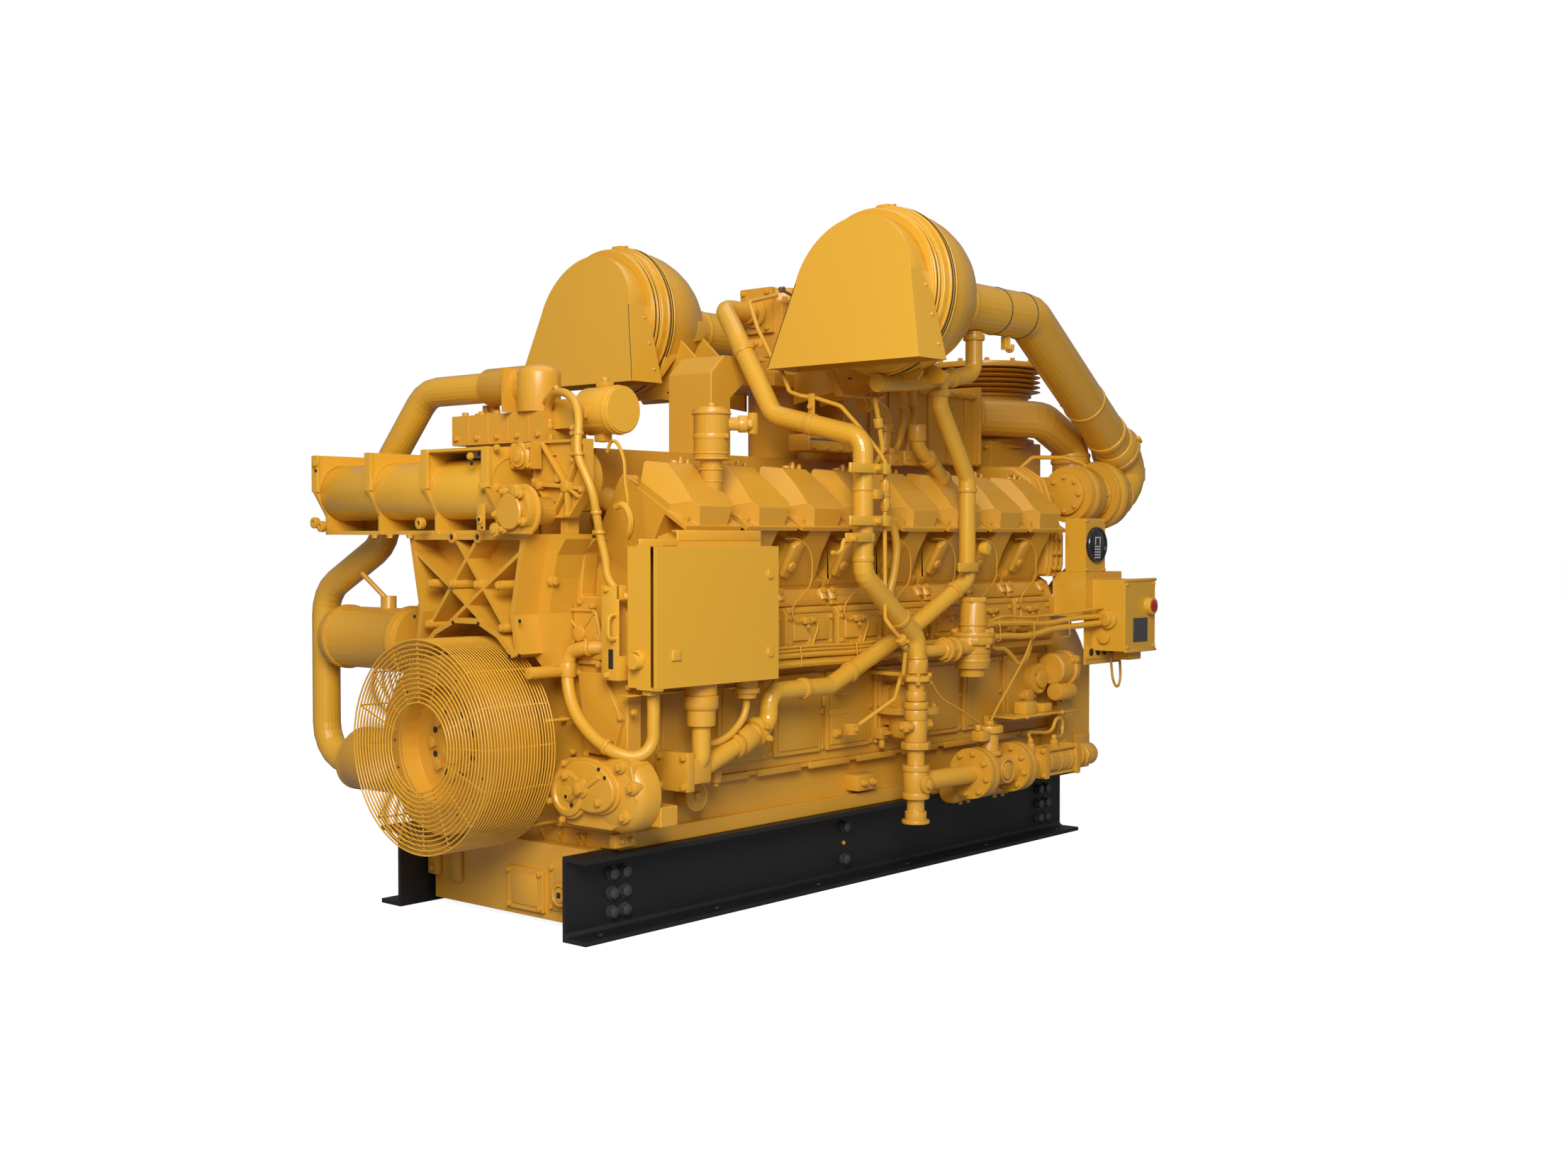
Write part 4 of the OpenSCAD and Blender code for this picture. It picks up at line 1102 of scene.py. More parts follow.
@dataclass(frozen=True)
class GearCase:
    """Screws, ribs and the slotted bracket of the gear case."""

    upper: tuple[Pair, ...] = (
        (-220, 819), (-263, 827), (-309, 818), (-194, 738), (-331, 738), (-190, 671), (-331, 673),
    )
    lower: tuple[Pair, ...] = (
        (-351, 646), (-407, 546), (-198, 530), (-235, 449), (-285, 448), (-253, 650), (-383, 475),
    )
    case: tuple[Pair, ...] = ((-335, 777), (-365, 666), (-394, 674), (-420, 620), (-440, 560), (-430, 430))

    def screws(self) -> None:
        """Screws round the covers and the case."""
        bolts = Piece("gear_cover_bolts", CAST)
        bolts.bolts([(-1014, y, z) for y, z in self.upper + self.lower], FRONT, 13, 8)
        bolts.bolts([(-1000, y, z) for y, z in self.case], FRONT, 13, 8).both_sides().done()

    def ribs(self) -> None:
        """The raised rim and cross ribs of the upper cover, and the slotted bracket beside it."""
        ribs = Piece("gear_cover_ribs", CAST)
        rim = [
            (-1015, -205, 806), (-1015, -318, 806), (-1015, -338, 740), (-1015, -320, 690),
            (-1015, -205, 690), (-1015, -186, 740), (-1015, -205, 806),
        ]
        ribs.pipe(rim, 4.5, 14, 10).rod((-1015, -205, 806), (-1015, -320, 690), 3.6, 0, 10)
        ribs.rod((-1015, -318, 806), (-1015, -205, 690), 3.6, 0, 10)
        ribs.rod((-1013, -262, 748), (-1022, -262, 748), 21, 4, 32).both_sides().done()
        bracket = Piece("slotted_bracket", SHEET)
        bracket.box((-1052, -438, 640), (-1047, -378, 872), 2)
        bracket.box((-1050, -438, 640), (-1002, -432, 700), 2)
        bracket.box((-1052, -438, 836), (-1002, -432, 872), 2)
        bracket.pipe([
            (-1049, -430, 800), (-1078, -430, 800), (-1078, -430, 742), (-1049, -430, 742),
        ], 5, 13, 10)
        bracket.bolts([(-1052, -400, 862), (-1052, -400, 652)], FRONT, 13, 8).done()
        # Painted shade: a dark strip and a dark disc stand for the shade inside the bracket's slot and hole.
        slots = Piece("bracket_slots", SHADE_PAINT)
        slots.box((-1053.4, -420, 668), (-1051.6, -404, 716), 0.5, 1)
        slots.rod((-1051.6, -402, 760), (-1053.4, -402, 760), 5, 0, 16).done()

    def build(self) -> None:
        """Adds them all."""
        self.screws()
        self.ribs()


@dataclass(frozen=True)
class OilPump:
    """The pump's cover plate, ribs, lugs and screws."""

    port: Point = (-1090, -300, 361)

    def build(self) -> None:
        """Adds them."""
        outline = [
            (-1070, -372 + 92 * math.cos(t), 382 + 62 * math.sin(t) + 10 * math.cos(t))
            for t in evenly(36)
        ]
        pump = Piece("oil_pump_cover", CAST).slab(outline, FRONT, 27, 5, 3)
        pump.slab([
            (-1070, -372 + (y + 372) * 1.09, 382 + (z - 382) * 1.09) for _, y, z in outline
        ], FRONT, 14, 3, 3)
        pump.lathe([(0, 0), (94, 0), (94, 44), (86, 62), (68, 72), (0, 74)], (-1002, -440, 364), FRONT, 56)
        pump.rod((-1097, -418, 412), (-1097, -312, 345), 8, 3, 16)
        pump.rod((-1094, -355, 377), (-1103, -355, 377), 24, 3, 32)
        pump.lathe([(0, 0), (58, 0), (58, 6), (54, 9), (44, 9), (40, 4), (0, 4)], self.port, FRONT, 56)
        for y, z in ((-470, 436), (-510, 388), (-482, 316)):
            pump.rod((-1050, y, z), (-1082, y, z), 16, 3, 24)
        pump.bolts([(-1103, -355, 377)], FRONT, 27, 13, 4)
        pump.bolts([
            (-1097, -415, 347), (-1097, -298, 403), (-1082, -470, 436), (-1082, -510, 388),
            (-1082, -482, 316),
        ], FRONT, 17, 9, 3)
        pump.bolts(circle(self.port, REAR, 72, (0.5, 1.4, 5.0, 5.9)), FRONT, 14, 8).done()
        # Painted shade: dark discs stand for the shade inside the pump cover's holes.
        holes = Piece("oil_pump_holes", SHADE_PAINT)
        for y, z in ((-415, 428), (-436, 409), (-298, 351), (-318, 332)):
            holes.rod((-1096, y, z), (-1098, y, z), 5, 0, 16)
        holes.done()


@dataclass(frozen=True)
class CoverAndPumps:
    """Screws and bosses of the ribbed cover, the small pump and the box above it."""

    hub: Pair = (-296, 1113)

    def build(self) -> None:
        """Adds them."""
        bolts = Piece("ribbed_cover_bolts", CAST)
        rim = ((-176, 1218), (-350, 1218), (-350, 1104), (-180, 1128), (-300, 1044), (-244, 1044))
        bolts.bolts([(-1088, y, z) for y, z in rim], FRONT, 14, 8).done()
        hub = self.hub
        ribs = Piece("ribbed_cover_ribs", CAST).rod((-1078, *hub), (-1100, *hub), 15, 3, 32)
        ribs.rod((-1078, -198, 1117), (-1098, -198, 1117), 11, 3, 24)
        for end in (
            (-172, 1120), (-206, 1222), (-350, 1218), (-352, 1106), (-344, 1086), (-300, 1042),
            (-246, 1046),
        ):
            way = (Vector(end) - Vector(hub)).normalized()
            side = Vector((-way.y, way.x)) * 5.0
            corners = [Vector(hub) + side, Vector(end) + side, Vector(end) - side, Vector(hub) - side]
            ribs.slab([(-1078, spot.x, spot.y) for spot in corners], FRONT, 17, 2.5)
        ribs.done()
        pump = Piece("small_pump_face", CAST).rod((-1172, -222, 1053), (-1160, -222, 1053), 66, 4, 48)
        pump.rod((-1160, -222, 1053), (-1136, -222, 1053), 56, 3, 48, 40)
        pump.lathe([(0, 0), (44, 0), (44, 3), (41, 6), (0, 6)], (-1208, -222, 1050), FRONT, 40)
        screws = circle((-1211, -222, 1053), REAR, 52, (1.1, 2.3, 3.7, 5.2, 6.1))
        for x, y, z in screws:
            pump.rod((x + 15, y, z), (x, y, z), 11, 2, 20)
        pump.rod((-1186, -166, 1006), (-1212, -166, 1006), 18, 3, 28)
        pump.rod((-1212, -166, 1006), (-1217, -166, 1006), 12, 2, 6)
        pump.rod((-1190, -240, 1102), (-1214, -240, 1102), 15, 3, 24)
        pump.bolts(screws, FRONT, 12, 7, 2).done()
        box = Piece("small_box_face", CAST)
        box.lathe([(0, 0), (30, 0), (34, 4), (24, 12), (20, 16), (0, 16)], (-1122, -168, 1190), FRONT, 36)
        box.rod((-1122, -142, 1200), (-1132, -142, 1200), 14, 3, 24)
        box.rod((-1136, -168, 1190), (-1142, -168, 1190), 17, 2, 28)
        box.rod((-1100, -134, 1206), (-1100, -60, 1206), 11, 2, 20)
        box.bolts([(-1122, y, z) for y in (-196, -142) for z in (1166, 1214)], FRONT, 13, 8)
        box.bolts([(-1180, -146, 1208)], FRONT, 14, 9).done()
        extras = Piece("front_cylinder_fittings", CAST)
        extras.lathe([(0, 0), (70, 0), (70, 3), (0, 3)], (-1112, -118, 1110), OUT, 56)
        extras.pipe([(-1160, -116, 1110), (-1166, -140, 1112), (-1176, -200, 1110)], 6, 12, 12)
        extras.bolts([(-1163, -128, 1112)], FRONT, 19, 9).done()


@dataclass(frozen=True)
class FrontHoses:
    """The hoses from the thermostat housing down to the control box, and their fittings."""

    long_route: tuple[Point, ...] = (
        (-1000, -131, 1288), (-1003, -134, 1312), (-1022, -168, 1340), (-1048, -222, 1350),
        (-1068, -288, 1334), (-1086, -332, 1300), (-1098, -350, 1258), (-1106, -354, 1212),
        (-1107, -361, 1178), (-1105, -382, 1138), (-1098, -398, 1094), (-1082, -396, 1036),
        (-1065, -390, 990), (-1055, -396, 940), (-1048, -404, 884), (-1028, -428, 850), (-1006, -450, 836),
    )
    short_route: tuple[Point, ...] = (
        (-1000, -94, 1288), (-1002, -98, 1308), (-1012, -128, 1332), (-1030, -176, 1350),
        (-1050, -216, 1362),
    )

    def fittings(self) -> None:
        """Crimped hose ends on the thermostat housing, its stubs, studs and cap."""
        ends = Piece("hose_fittings", CAST)
        for y in (-94, -131):
            ends.rod((-1000, y, 1236), (-1000, y, 1250), 15, 2, 6)
            ends.rod((-1000, y, 1250), (-1000, y, 1262), 11, 1.5, 20)
            ends.rod((-1000, y, 1262), (-1000, y, 1290), 14, 2.5, 24)
            ends.rod((-1000, y, 1268), (-1000, y, 1272), 15, 1, 24)
            ends.rod((-1000, y, 1280), (-1000, y, 1284), 15, 1, 24)
        ends.box((-1010, -148, 1226), (-985, -76, 1238), 3).done()
        studs = Piece("thermostat_bolts", CAST)
        studs.bolts(
            [
                (-1000, y, 1310) for y in (-128, -20, 70, 132, 200)
            ] + [(-900, y, 1310) for y in (-128, 0, 100, 200)],
            UP, 15, 10, 3,
        )
        studs.bolts([(-1024, y, 1250) for y in (-120, -40, 40, 120, 205)], FRONT, 13, 8).done()
        plate = Piece("thermostat_stub", CAST)
        plate.box((-990, 112, 1310), (-930, 176, 1318), 3)
        plate.rod((-960, 126, 1318), (-960, 126, 1352), 13, 2, 24)
        plate.rod((-960, 160, 1318), (-960, 160, 1340), 11, 2, 24).done()
        canister = Piece("canister_fittings", CAST)
        canister.ring((-945, -330, 1306), OUT, 60.5, 2.2, 64, 8)
        canister.box((-1012, -282, 1284), (-1004, -272, 1316), 3)
        canister.rod((-945, -215, 1306), (-945, -228, 1306), 34, 3, 32)
        canister.box((-960, -300, 1362), (-930, -262, 1380), 4)
        canister.rod((-945, -281, 1380), (-945, -281, 1390), 10, 2, 6)
        canister.box((-962, -290, 1228), (-928, -258, 1250), 3).done()

    def hoses(self) -> None:
        """The long hoses."""
        hose = Piece("long_front_hose", HOSE).hose(self.long_route, 10.5, 16)
        hose.hose(self.short_route, 6, 12).done()
        clips = Piece("front_hose_clips", CAST)
        for x, y, z in ((-1101, -352, 1240), (-1107, -359, 1190), (-1085, -397, 1048), (-1068, -391, 1000)):
            clips.rod((x, y, z - 4), (x, y, z + 4), 13.5, 1.5, 24)
        clips.box((-1104, -350, 1236), (-1094, -322, 1246), 2)
        clips.box((-1106, -356, 1186), (-1094, -322, 1196), 2)
        clips.box((-1096, -332, 1166), (-1090, -320, 1262), 1.5)
        clips.bolts([(-1096, -326, 1254), (-1096, -326, 1176), (-1068, -376, 1000)], FRONT, 11, 6).done()
        loop = Piece("pump_side_hose", HOSE)
        loop.hose([
            (-1020, -398, 1062), (-1022, -424, 1066), (-1020, -446, 1040), (-1014, -440, 1008),
            (-1004, -420, 986),
        ], 9, 14)
        loop.hose([
            (-985, -330, 1200), (-990, -356, 1226), (-992, -392, 1190), (-992, -402, 1120),
            (-988, -406, 1070), (-984, -400, 1040),
        ], 4.5, 10)
        loop.done()

    def build(self) -> None:
        """Adds them all."""
        self.fittings()
        self.hoses()


# ---------------------------------------------------------------- the left side's boxes, pipes and gas train


@dataclass(frozen=True)
class ControlBox:
    """The rim, hinges, glands and latches of the control box."""

    hinge_heights: tuple[float, ...] = (668, 795, 922)
    latch_heights: tuple[float, ...] = (694, 894)

    def build(self) -> None:
        """Adds them."""
        rim = Piece("control_box_rim", SHEET)
        rim.box((-904, -494, 979), (-592, -488, 1006), 3, 3)
        rim.box((-1034, -494, 966), (-904, -488, 984), 3, 3)
        rim.box((-904, -492, 1000), (-592, -470, 1006), 3, 3)
        rim.rod((-1034, -489, 694), (-1043, -489, 694), 24, 2, 36)
        rim.rod((-1043, -489, 694), (-1058, -489, 694), 15, 2, 28)
        rim.ring((-1044, -489, 694), FRONT, 19, 3, 40, 8)
        for z in self.hinge_heights:
            rim.rod((-1026, -543, z - 22), (-1026, -543, z + 22), 5.5, 1, 16)
        rim.box((-1022, -516, 606), (-1000, -488, 626), 2).box((-820, -500, 606), (-780, -470, 626), 2)
        rim.box((-1046, -470, 602), (-876, -428, 606), 1.5).box((-700, -480, 600), (-612, -440, 604), 1.5)
        rim.done()
        latches = Piece("door_latches", SHEET, "door")
        for z in self.latch_heights:
            latches.lathe([
                (0, 0), (15, 0), (15, 1.2), (12.5, 1.6), (12, 0.8), (11, 0.8), (10.4, 2.4), (0, 2.4),
            ], (-624, -551, z), OUT, 36)
        latches.box((-985, -556, 690), (-953, -550, 716), 2.5, 3).done()
        # Painted shade: dark strips stand for the shade inside the latch slots and the handle's slot.
        slots = Piece("latch_slots", SHADE_PAINT, "door")
        for z in self.latch_heights:
            slots.box((-629, -553.9, z - 1.2), (-618, -552.9, z + 1.2), 0.3, 1)
        slots.box((-954.2, -552.4, 694), (-952.6, -550.6, 713), 0.2, 1).done()
        Piece("door_seal", SHEET).box((-1021, -531.6, 627), (-593, -527, 963), 0.5, 1).done()


@dataclass(frozen=True)
class Glands:
    """The fittings and hoses under the control box, and the oil inlet beside them."""

    left_route: tuple[Point, ...] = (
        (-987, -492, 616), (-987, -492, 540), (-992, -488, 482), (-1020, -474, 458), (-1052, -438, 464),
        (-1062, -383, 488), (-1062, -330, 521), (-1058, -285, 565), (-1050, -256, 620), (-1046, -250, 668),
    )

    def down(self) -> None:
        """Under the box: the stepped collar with its tube, the plug with its cable, the hose at the left."""
        parts = Piece("box_glands", CAST)
        parts.lathe([
            (0, 0), (41, 0), (41, 30), (39, 32), (44, 34), (44, 58), (42, 66), (37, 70), (36, 108),
            (31, 110), (0, 110),
        ], (-820, -494, 626), DOWN, 40)
        parts.lathe([
            (0, 0), (30, 0), (30, 24), (35, 26), (35, 38), (28, 40), (26, 52), (0, 52),
        ], (-640, -484, 626), DOWN, 32)
        parts.lathe([(0, 0), (26, 0), (26, 10), (23, 14), (0, 14)], (-986, -492, 626), DOWN, 32).done()
        Piece("box_down_tube", TUBE).pipe([
            (-820, -494, 520), (-820, -494, 440), (-824, -478, 408), (-826, -440, 398),
        ], 24, 24, 24).done()
        hoses = Piece("box_hoses", HOSE)
        hoses.hose([
            (-638, -482, 576), (-640, -482, 545), (-666, -480, 505), (-722, -470, 470), (-776, -440, 460),
        ], 10, 16)
        hoses.hose(self.left_route, 16, 18).done()
        clips = Piece("left_hose_clips", CAST)
        clips.rod((-1046, -250, 640), (-1045, -250, 676), 21, 3, 28)
        clips.pipe([
            (-1045, -250, 672), (-1042, -256, 704), (-1036, -300, 714), (-1008, -338, 716),
        ], 18, 26, 22)
        clips.rod((-1034, -306, 714), (-1030, -316, 715), 22, 3, 28)
        clips.box((-1018, -372, 684), (-1000, -308, 752), 4)
        clips.rod((-1060, -400, 480), (-1058, -410, 476), 21, 2, 28).done()

    def inlet(self) -> None:
        """The oil inlet: a square flange, a slanting tube, its clamp and union."""
        plate = Piece("inlet_flange", CAST)
        plate.box((-884, -508, 356), (-858, -400, 454), 3).box((-868, -500, 364), (-848, -392, 446), 3)
        plate.box((-862, -506, 372), (-792, -400, 440), 8)
        plate.bolts([(-884, y, z) for y in (-496, -412) for z in (368, 442)], FRONT, 15, 9, 3)
        plate.rod((-697, -428, 392), (-697, -428, 356), 16, 3, 28)
        plate.rod((-697, -428, 356), (-697, -428, 346), 10, 2, 6).done()
        bands = Piece("inlet_clamps", CAST)
        way = Vector((0.939, 0.0, 0.344)).normalized()
        for x, half, radius in ((-636, 24, 35), (-588, 11, 38), (-672, 8, 33)):
            centre = Vector((x, -474, 500 + (x + 541) * 0.3668))
            bands.rod(tuple(centre - way * half), tuple(centre + way * half), radius, 3, 36)
        bands.bolts([(-594, -510, 498), (-582, -510, 466)], OUT, 14, 10, 3).done()

    def build(self) -> None:
        """Adds them all."""
        self.down()
        self.inlet()


@dataclass(frozen=True)
class PipeClamps:
    """The strap clamps, hooks and couplings on the gas pipe and the vent pipe."""

    thin_route: tuple[Point, ...] = (
        (-98, -118, 1700), (-222, -120, 1668), (-250, -178, 1584), (-250, -234, 1492), (-250, -272, 1450),
        (-255, -302, 1397), (-255, -342, 1384), (-242, -390, 1375), (-235, -470, 1350), (-203, -514, 1288),
        (-164, -552, 1220), (-153, -562, 1194), (-153, -560, 1024), (-151, -560, 812), (-151, -560, 765),
        (-142, -575, 740), (-103, -582, 704), (-75, -575, 681), (-67, -560, 608), (-61, -545, 595),
        (-67, -530, 535), (-161, -452, 451),
    )
    joints: tuple[tuple[Point, Vector, float, float], ...] = (
        ((-60, -545, 760), Vector((0.8, 0, -0.6)), 8, 31), ((-231, -545, 1120), UP, 5, 31),
        ((-231, -545, 930), UP, 8, 31), ((-200, -474, 616), Vector((0.933, 0, 0.36)), 9, 29),
        ((-400, -474, 582), FRONT, 10, 29.5), ((304, -518, 1130), UP, 7, 29),
        ((252, -507, 831), Vector((0.83, -0.18, 0.53)), 8, 29),
    )

    def straps(self) -> None:
        """Flat straps held by bolts, with a small tube clamp at their end."""
        straps = Piece("gas_pipe_straps", SHEET)
        for z in (1176, 1034):
            straps.box((-329, -582, z - 13), (-158, -576, z + 13), 2.5)
            straps.rod((-231, -545, z - 13), (-231, -545, z + 13), 33, 3, 40)
            straps.box((-186, -584, z - 15), (-156, -550, z + 15), 3)
            straps.rod((-329, -579, z - 13), (-329, -579, z + 13), 5, 1.5, 16)
        straps.box((-348, -580, 976), (-235, -574, 1001), 2.5)
        straps.rod((-231, -545, 976), (-231, -545, 1001), 33, 3, 40)
        straps.pipe([
            (-348, -576, 984), (-352, -572, 974), (-355, -572, 957), (-374, -572, 945), (-397, -572, 949),
        ], 6, 12, 14)
        straps.bolts([(-215, -582, 1178), (-215, -582, 1034), (-319, -580, 987)], OUT, 17, 9, 3)
        straps.box((216, -552, 888), (316, -546, 915), 2.5)
        straps.rod((304, -518, 888), (304, -518, 915), 31, 3, 40)
        straps.rod((338, -545, 955), (338, -572, 955), 19, 5, 32).done()

    def collars(self) -> None:
        """Joint bands along both pipes."""
        bands = Piece("pipe_joint_bands", CAST)
        for place, way, half, radius in self.joints:
            centre, step = Vector(place), way.normalized() * half
            bands.rod(tuple(centre - step), tuple(centre + step), radius, 2, 36)
        bands.done()

    def thin_tubes(self) -> None:
        """The thin tube beside the gas pipe with its couplings and branch, and a second one behind it."""
        tube = Piece("thin_gas_tube", TUBE)
        tube.pipe(self.thin_route, 6, 20, 12).pipe([(-202, -556, 1106), (-153, -560, 1106)], 7, 5, 12)
        tube.pipe([
            (-50, -470, 1388), (-104, -486, 1378), (-110, -500, 1340), (-83, -500, 1232), (-92, -460, 1170),
            (-100, -410, 1130),
        ], 7, 30, 12)
        tube.done()
        joints = Piece("thin_tube_joints", CAST).rod((-108, -500, 1322), (-101, -500, 1296), 14, 2.5, 24)
        for place, way, low, high in (
            ((-258, -381, 1303), Vector((0.159, -0.958, -0.24)), (-257, -392, 1322), (-251, -370, 1388)),
            ((-265, -137, 1522), Vector((-0.059, -0.55, -0.833)), (-262, -204, 1530), (-256, -150, 1552)),
        ):
            centre, step = Vector(place), way.normalized() * 11
            joints.rod(tuple(centre - step), tuple(centre + step), 31.5, 2, 40).box(low, high, 2)
        joints.bolts([(-257, -381, 1352), (-262, -186, 1541)], FRONT, 14, 8)
        for z in (1128, 1081):
            joints.rod((-153, -560, z - 14), (-153, -560, z + 14), 15, 2.5, 6)
            joints.rod((-153, -560, z - 20), (-153, -560, z + 20), 11, 2, 20)
        joints.box((-224, -586, 1092), (-196, -568, 1120), 4)
        joints.rod((-200, -564, 1106), (-168, -560, 1106), 12, 2, 20)
        joints.rod((-164, -560, 1106), (-142, -560, 1106), 14, 2, 6)
        joints.rod((-93, -582, 694), (-73, -575, 678), 13, 2, 6)
        joints.rod((-110, -582, 710), (-97, -581, 698), 16, 2, 20)
        joints.box((-184, -470, 436), (-148, -440, 470), 4)
        joints.bolts([(-98, -598, 700), (-166, -470, 452)], OUT, 11, 6, 2).done()

    def build(self) -> None:
        """Adds them all."""
        self.straps()
        self.collars()
        self.thin_tubes()


@dataclass(frozen=True)
class GasColumn:
    """Couplings, bolted ears and the tee of the upright gas column."""

    at: Pair = (13.0, -545.0)

    def disc(self, low: float, high: float, radius: float, sides: int = 40) -> Item:
        """A round or many-sided band about the column."""
        return Bench.rod((*self.at, low), (*self.at, high), radius, 2.5, sides)

    def build(self) -> None:
        """Adds them."""
        x, y = self.at
        column = Piece("gas_column_bands", CAST)
        for low, high, radius, sides in (
            (612, 637, 36, 8), (581, 596, 46, 8), (525, 552, 30, 40), (503, 521, 36, 40),
            (470, 500, 33, 40), (388, 408, 43, 8), (408, 470, 32, 40), (325, 343, 39, 40),
            (246, 265, 39, 40), (265, 325, 36, 40), (176, 186, 40, 40), (644, 652, 32, 40),
        ):
            column.add(self.disc(low, high, radius, sides))
        for side in (-1, 1):
            column.box((x + side * 46 - 16, y - 14, 440), (x + side * 46 + 16, y + 14, 470), 5)
        column.bolts([(x - 62, y, 455)], FRONT, 15, 9, 3)
        column.bolts([(x - 46, y - 14, 455), (x + 46, y - 14, 455)], OUT, 15, 9, 3)
        ring = [(x + 39 * math.cos(a), y + 39 * math.sin(a)) for a in (0.78, 2.36, 3.93, 5.5)]
        column.bolts([(a, b, 596) for a, b in ring], UP, 12, 8, 2)
        column.bolts([(a, b, 581) for a, b in ring], DOWN, 12, 8, 2)
        column.rod((x, y - 34, 290), (x, y - 46, 290), 26, 3, 32)
        column.rod((x, y - 46, 290), (x, y - 56, 290), 15, 2, 6).done()


@dataclass(frozen=True)
class GasTrain:
    """The bolts, caps, taps and hoses of the gas train and its filter."""

    routes: tuple[tuple[float, tuple[Point, ...]], ...] = (
        (3.5, ((129, -500, 594), (192, -500, 524), (289, -500, 479), (410, -500, 421))),
        (3.5, ((455, -500, 424), (491, -500, 465), (568, -500, 538), (668, -490, 623), (718, -480, 673))),
        (
            7.5,
            (
                (500, -462, 668), (536, -460, 648), (590, -460, 642), (640, -460, 614), (672, -460, 592),
                (712, -460, 604), (737, -460, 639), (744, -460, 671), (752, -450, 700),
            ),
        ),
        (
            6.0,
            (
                (611, -545, 362), (640, -520, 376), (720, -500, 372), (803, -500, 373), (838, -500, 408),
                (866, -500, 400), (868, -500, 366), (820, -520, 352), (747, -545, 362),
            ),
        ),
    )
    axis: Pair = (-545.0, 290.0)

    def flanges(self) -> None:
        """Bolt rings of the four big flanges, and the studs between the plates of the cylinder."""
        y, z = self.axis
        bolts = Piece("gas_train_bolts", CAST)
        ring = [(y + 61 * math.cos(a), z + 61 * math.sin(a)) for a in evenly(8, 0.2)]
        for x in (284, 487):
            bolts.bolts([(x, b, c) for b, c in ring], FRONT, 15, 9, 2)
        for x in (334, 537):
            bolts.bolts([(x, b, c) for b, c in ring], REAR, 15, 9, 2)
        corners = [(y + dy, z + dz) for dy in (-38, 38) for dz in (-38, 38)]
        bolts.bolts([(627, b, c) for b, c in corners], FRONT, 13, 8)
        bolts.bolts([(826, b, c) for b, c in corners], REAR, 13, 8)
        for b, c in corners:
            bolts.rod((640, b, c), (812, b, c), 4.5, 0, 12)
        bolts.done()

    def caps(self) -> None:
        """The valve's cap and side block, taps on the cylinder, and the end hub."""
        y, z = self.axis
        caps = Piece("gas_train_caps", CAST)
        caps.rod((384, y, 404), (384, y, 426), 42, 3, 40).rod((384, y, 426), (384, y, 440), 15, 2, 6)
        caps.rod((384, y, 336), (384, y, 350), 40, 3, 8).box((304, y - 30, 384), (348, y + 10, 416), 4)
        caps.rod((310, y - 10, 416), (310, y - 10, 434), 10, 2, 20)
        caps.rod((384, y, 254), (384, y, 232), 28, 3, 6).rod((384, y, 232), (384, y, 222), 16, 2, 24)
        caps.ring((410, y - 49, 290), OUT, 34, 4, 40, 8)
        caps.rod((410, y - 44, 290), (410, y - 54, 290), 26, 3, 32)
        for x in (611, 747):
            caps.rod((x, y, 318 if x < 700 else 332), (x, y, 352), 14, 2, 6)
            caps.rod((x, y, 352), (x, y, 365), 9, 1.5, 16)
        for x in (668, 727, 786):
            caps.ring((x, y, z), FRONT, 44.5, 1.8, 56, 8)
        caps.rod((935, y, z), (972, y, z), 28, 3, 32).rod((896, y, z), (908, y, z), 40, 3, 8)
        caps.rod((860, y, z), (872, y, z), 40, 3, 40).rod((570, y, z), (582, y, z), 40, 3, 8).done()
        # Painted shade: a dark square stands for the shade in the end hub's square socket.
        Piece("train_end_square", SHADE_PAINT).box((970, y - 11, z - 11), (973.5, y + 11, z + 11), 0.6, 1).done()

    def accumulator(self) -> None:
        """The long cylinder behind and below the train, with its hanging studs."""
        body = Piece("lower_cylinder", CAST)
        body.lathe([
            (0, 0), (30, 2), (34, 8), (34, 300), (32, 322), (25, 342), (12, 354), (0, 358),
        ], (300, -450, 224), REAR, 40)
        body.rod((326, -450, 224), (334, -450, 224), 37, 2, 40)
        body.rod((600, -450, 224), (608, -450, 224), 37, 2, 40)
        for x in (340, 560):
            body.box((x - 16, -452, 248), (x + 16, -370, 258), 3)
            body.box((x - 16, -384, 200), (x + 16, -370, 258), 3)
        for x in (368, 409, 553, 596):
            body.rod((x, -450, 196), (x, -450, 180), 7, 1.5, 16)
        body.done()

    def filter(self) -> None:
        """The filter's flange plate, bowl bands, drain and union."""
        body = Piece("gas_filter_plate", CAST)
        x, y = 335, -518
        body.rod((x, y, 676), (x, y, 692), 70, 3, 8).rod((x, y, 694), (x, y, 706), 68, 3, 40)
        body.rod((x, y, 796), (x, y, 812), 47, 3, 6).rod((x, y, 618), (x, y, 628), 54, 2, 40)
        body.rod((x, y, 600), (x, y, 590), 26, 3, 6).rod((x, y, 590), (x, y, 574), 10, 2, 20)
        body.rod((x, y, 726), (x, y, 734), 42, 2, 40).ring((x, y, 648), UP, 52, 3, 56, 8)
        body.rod((152, -530, 662), (232, -530, 662), 32, 4, 8)
        body.rod((166, -530, 662), (178, -530, 662), 37, 3, 40)
        body.rod((206, -530, 662), (218, -530, 662), 37, 3, 40)
        body.bolts(circle((x, y, 708), UP, 58, evenly(6, 0.4)), UP, 14, 9, 3)
        body.bolts(circle((x, y, 672), UP, 58, evenly(6, 0.4)), DOWN, 14, 9, 3).done()

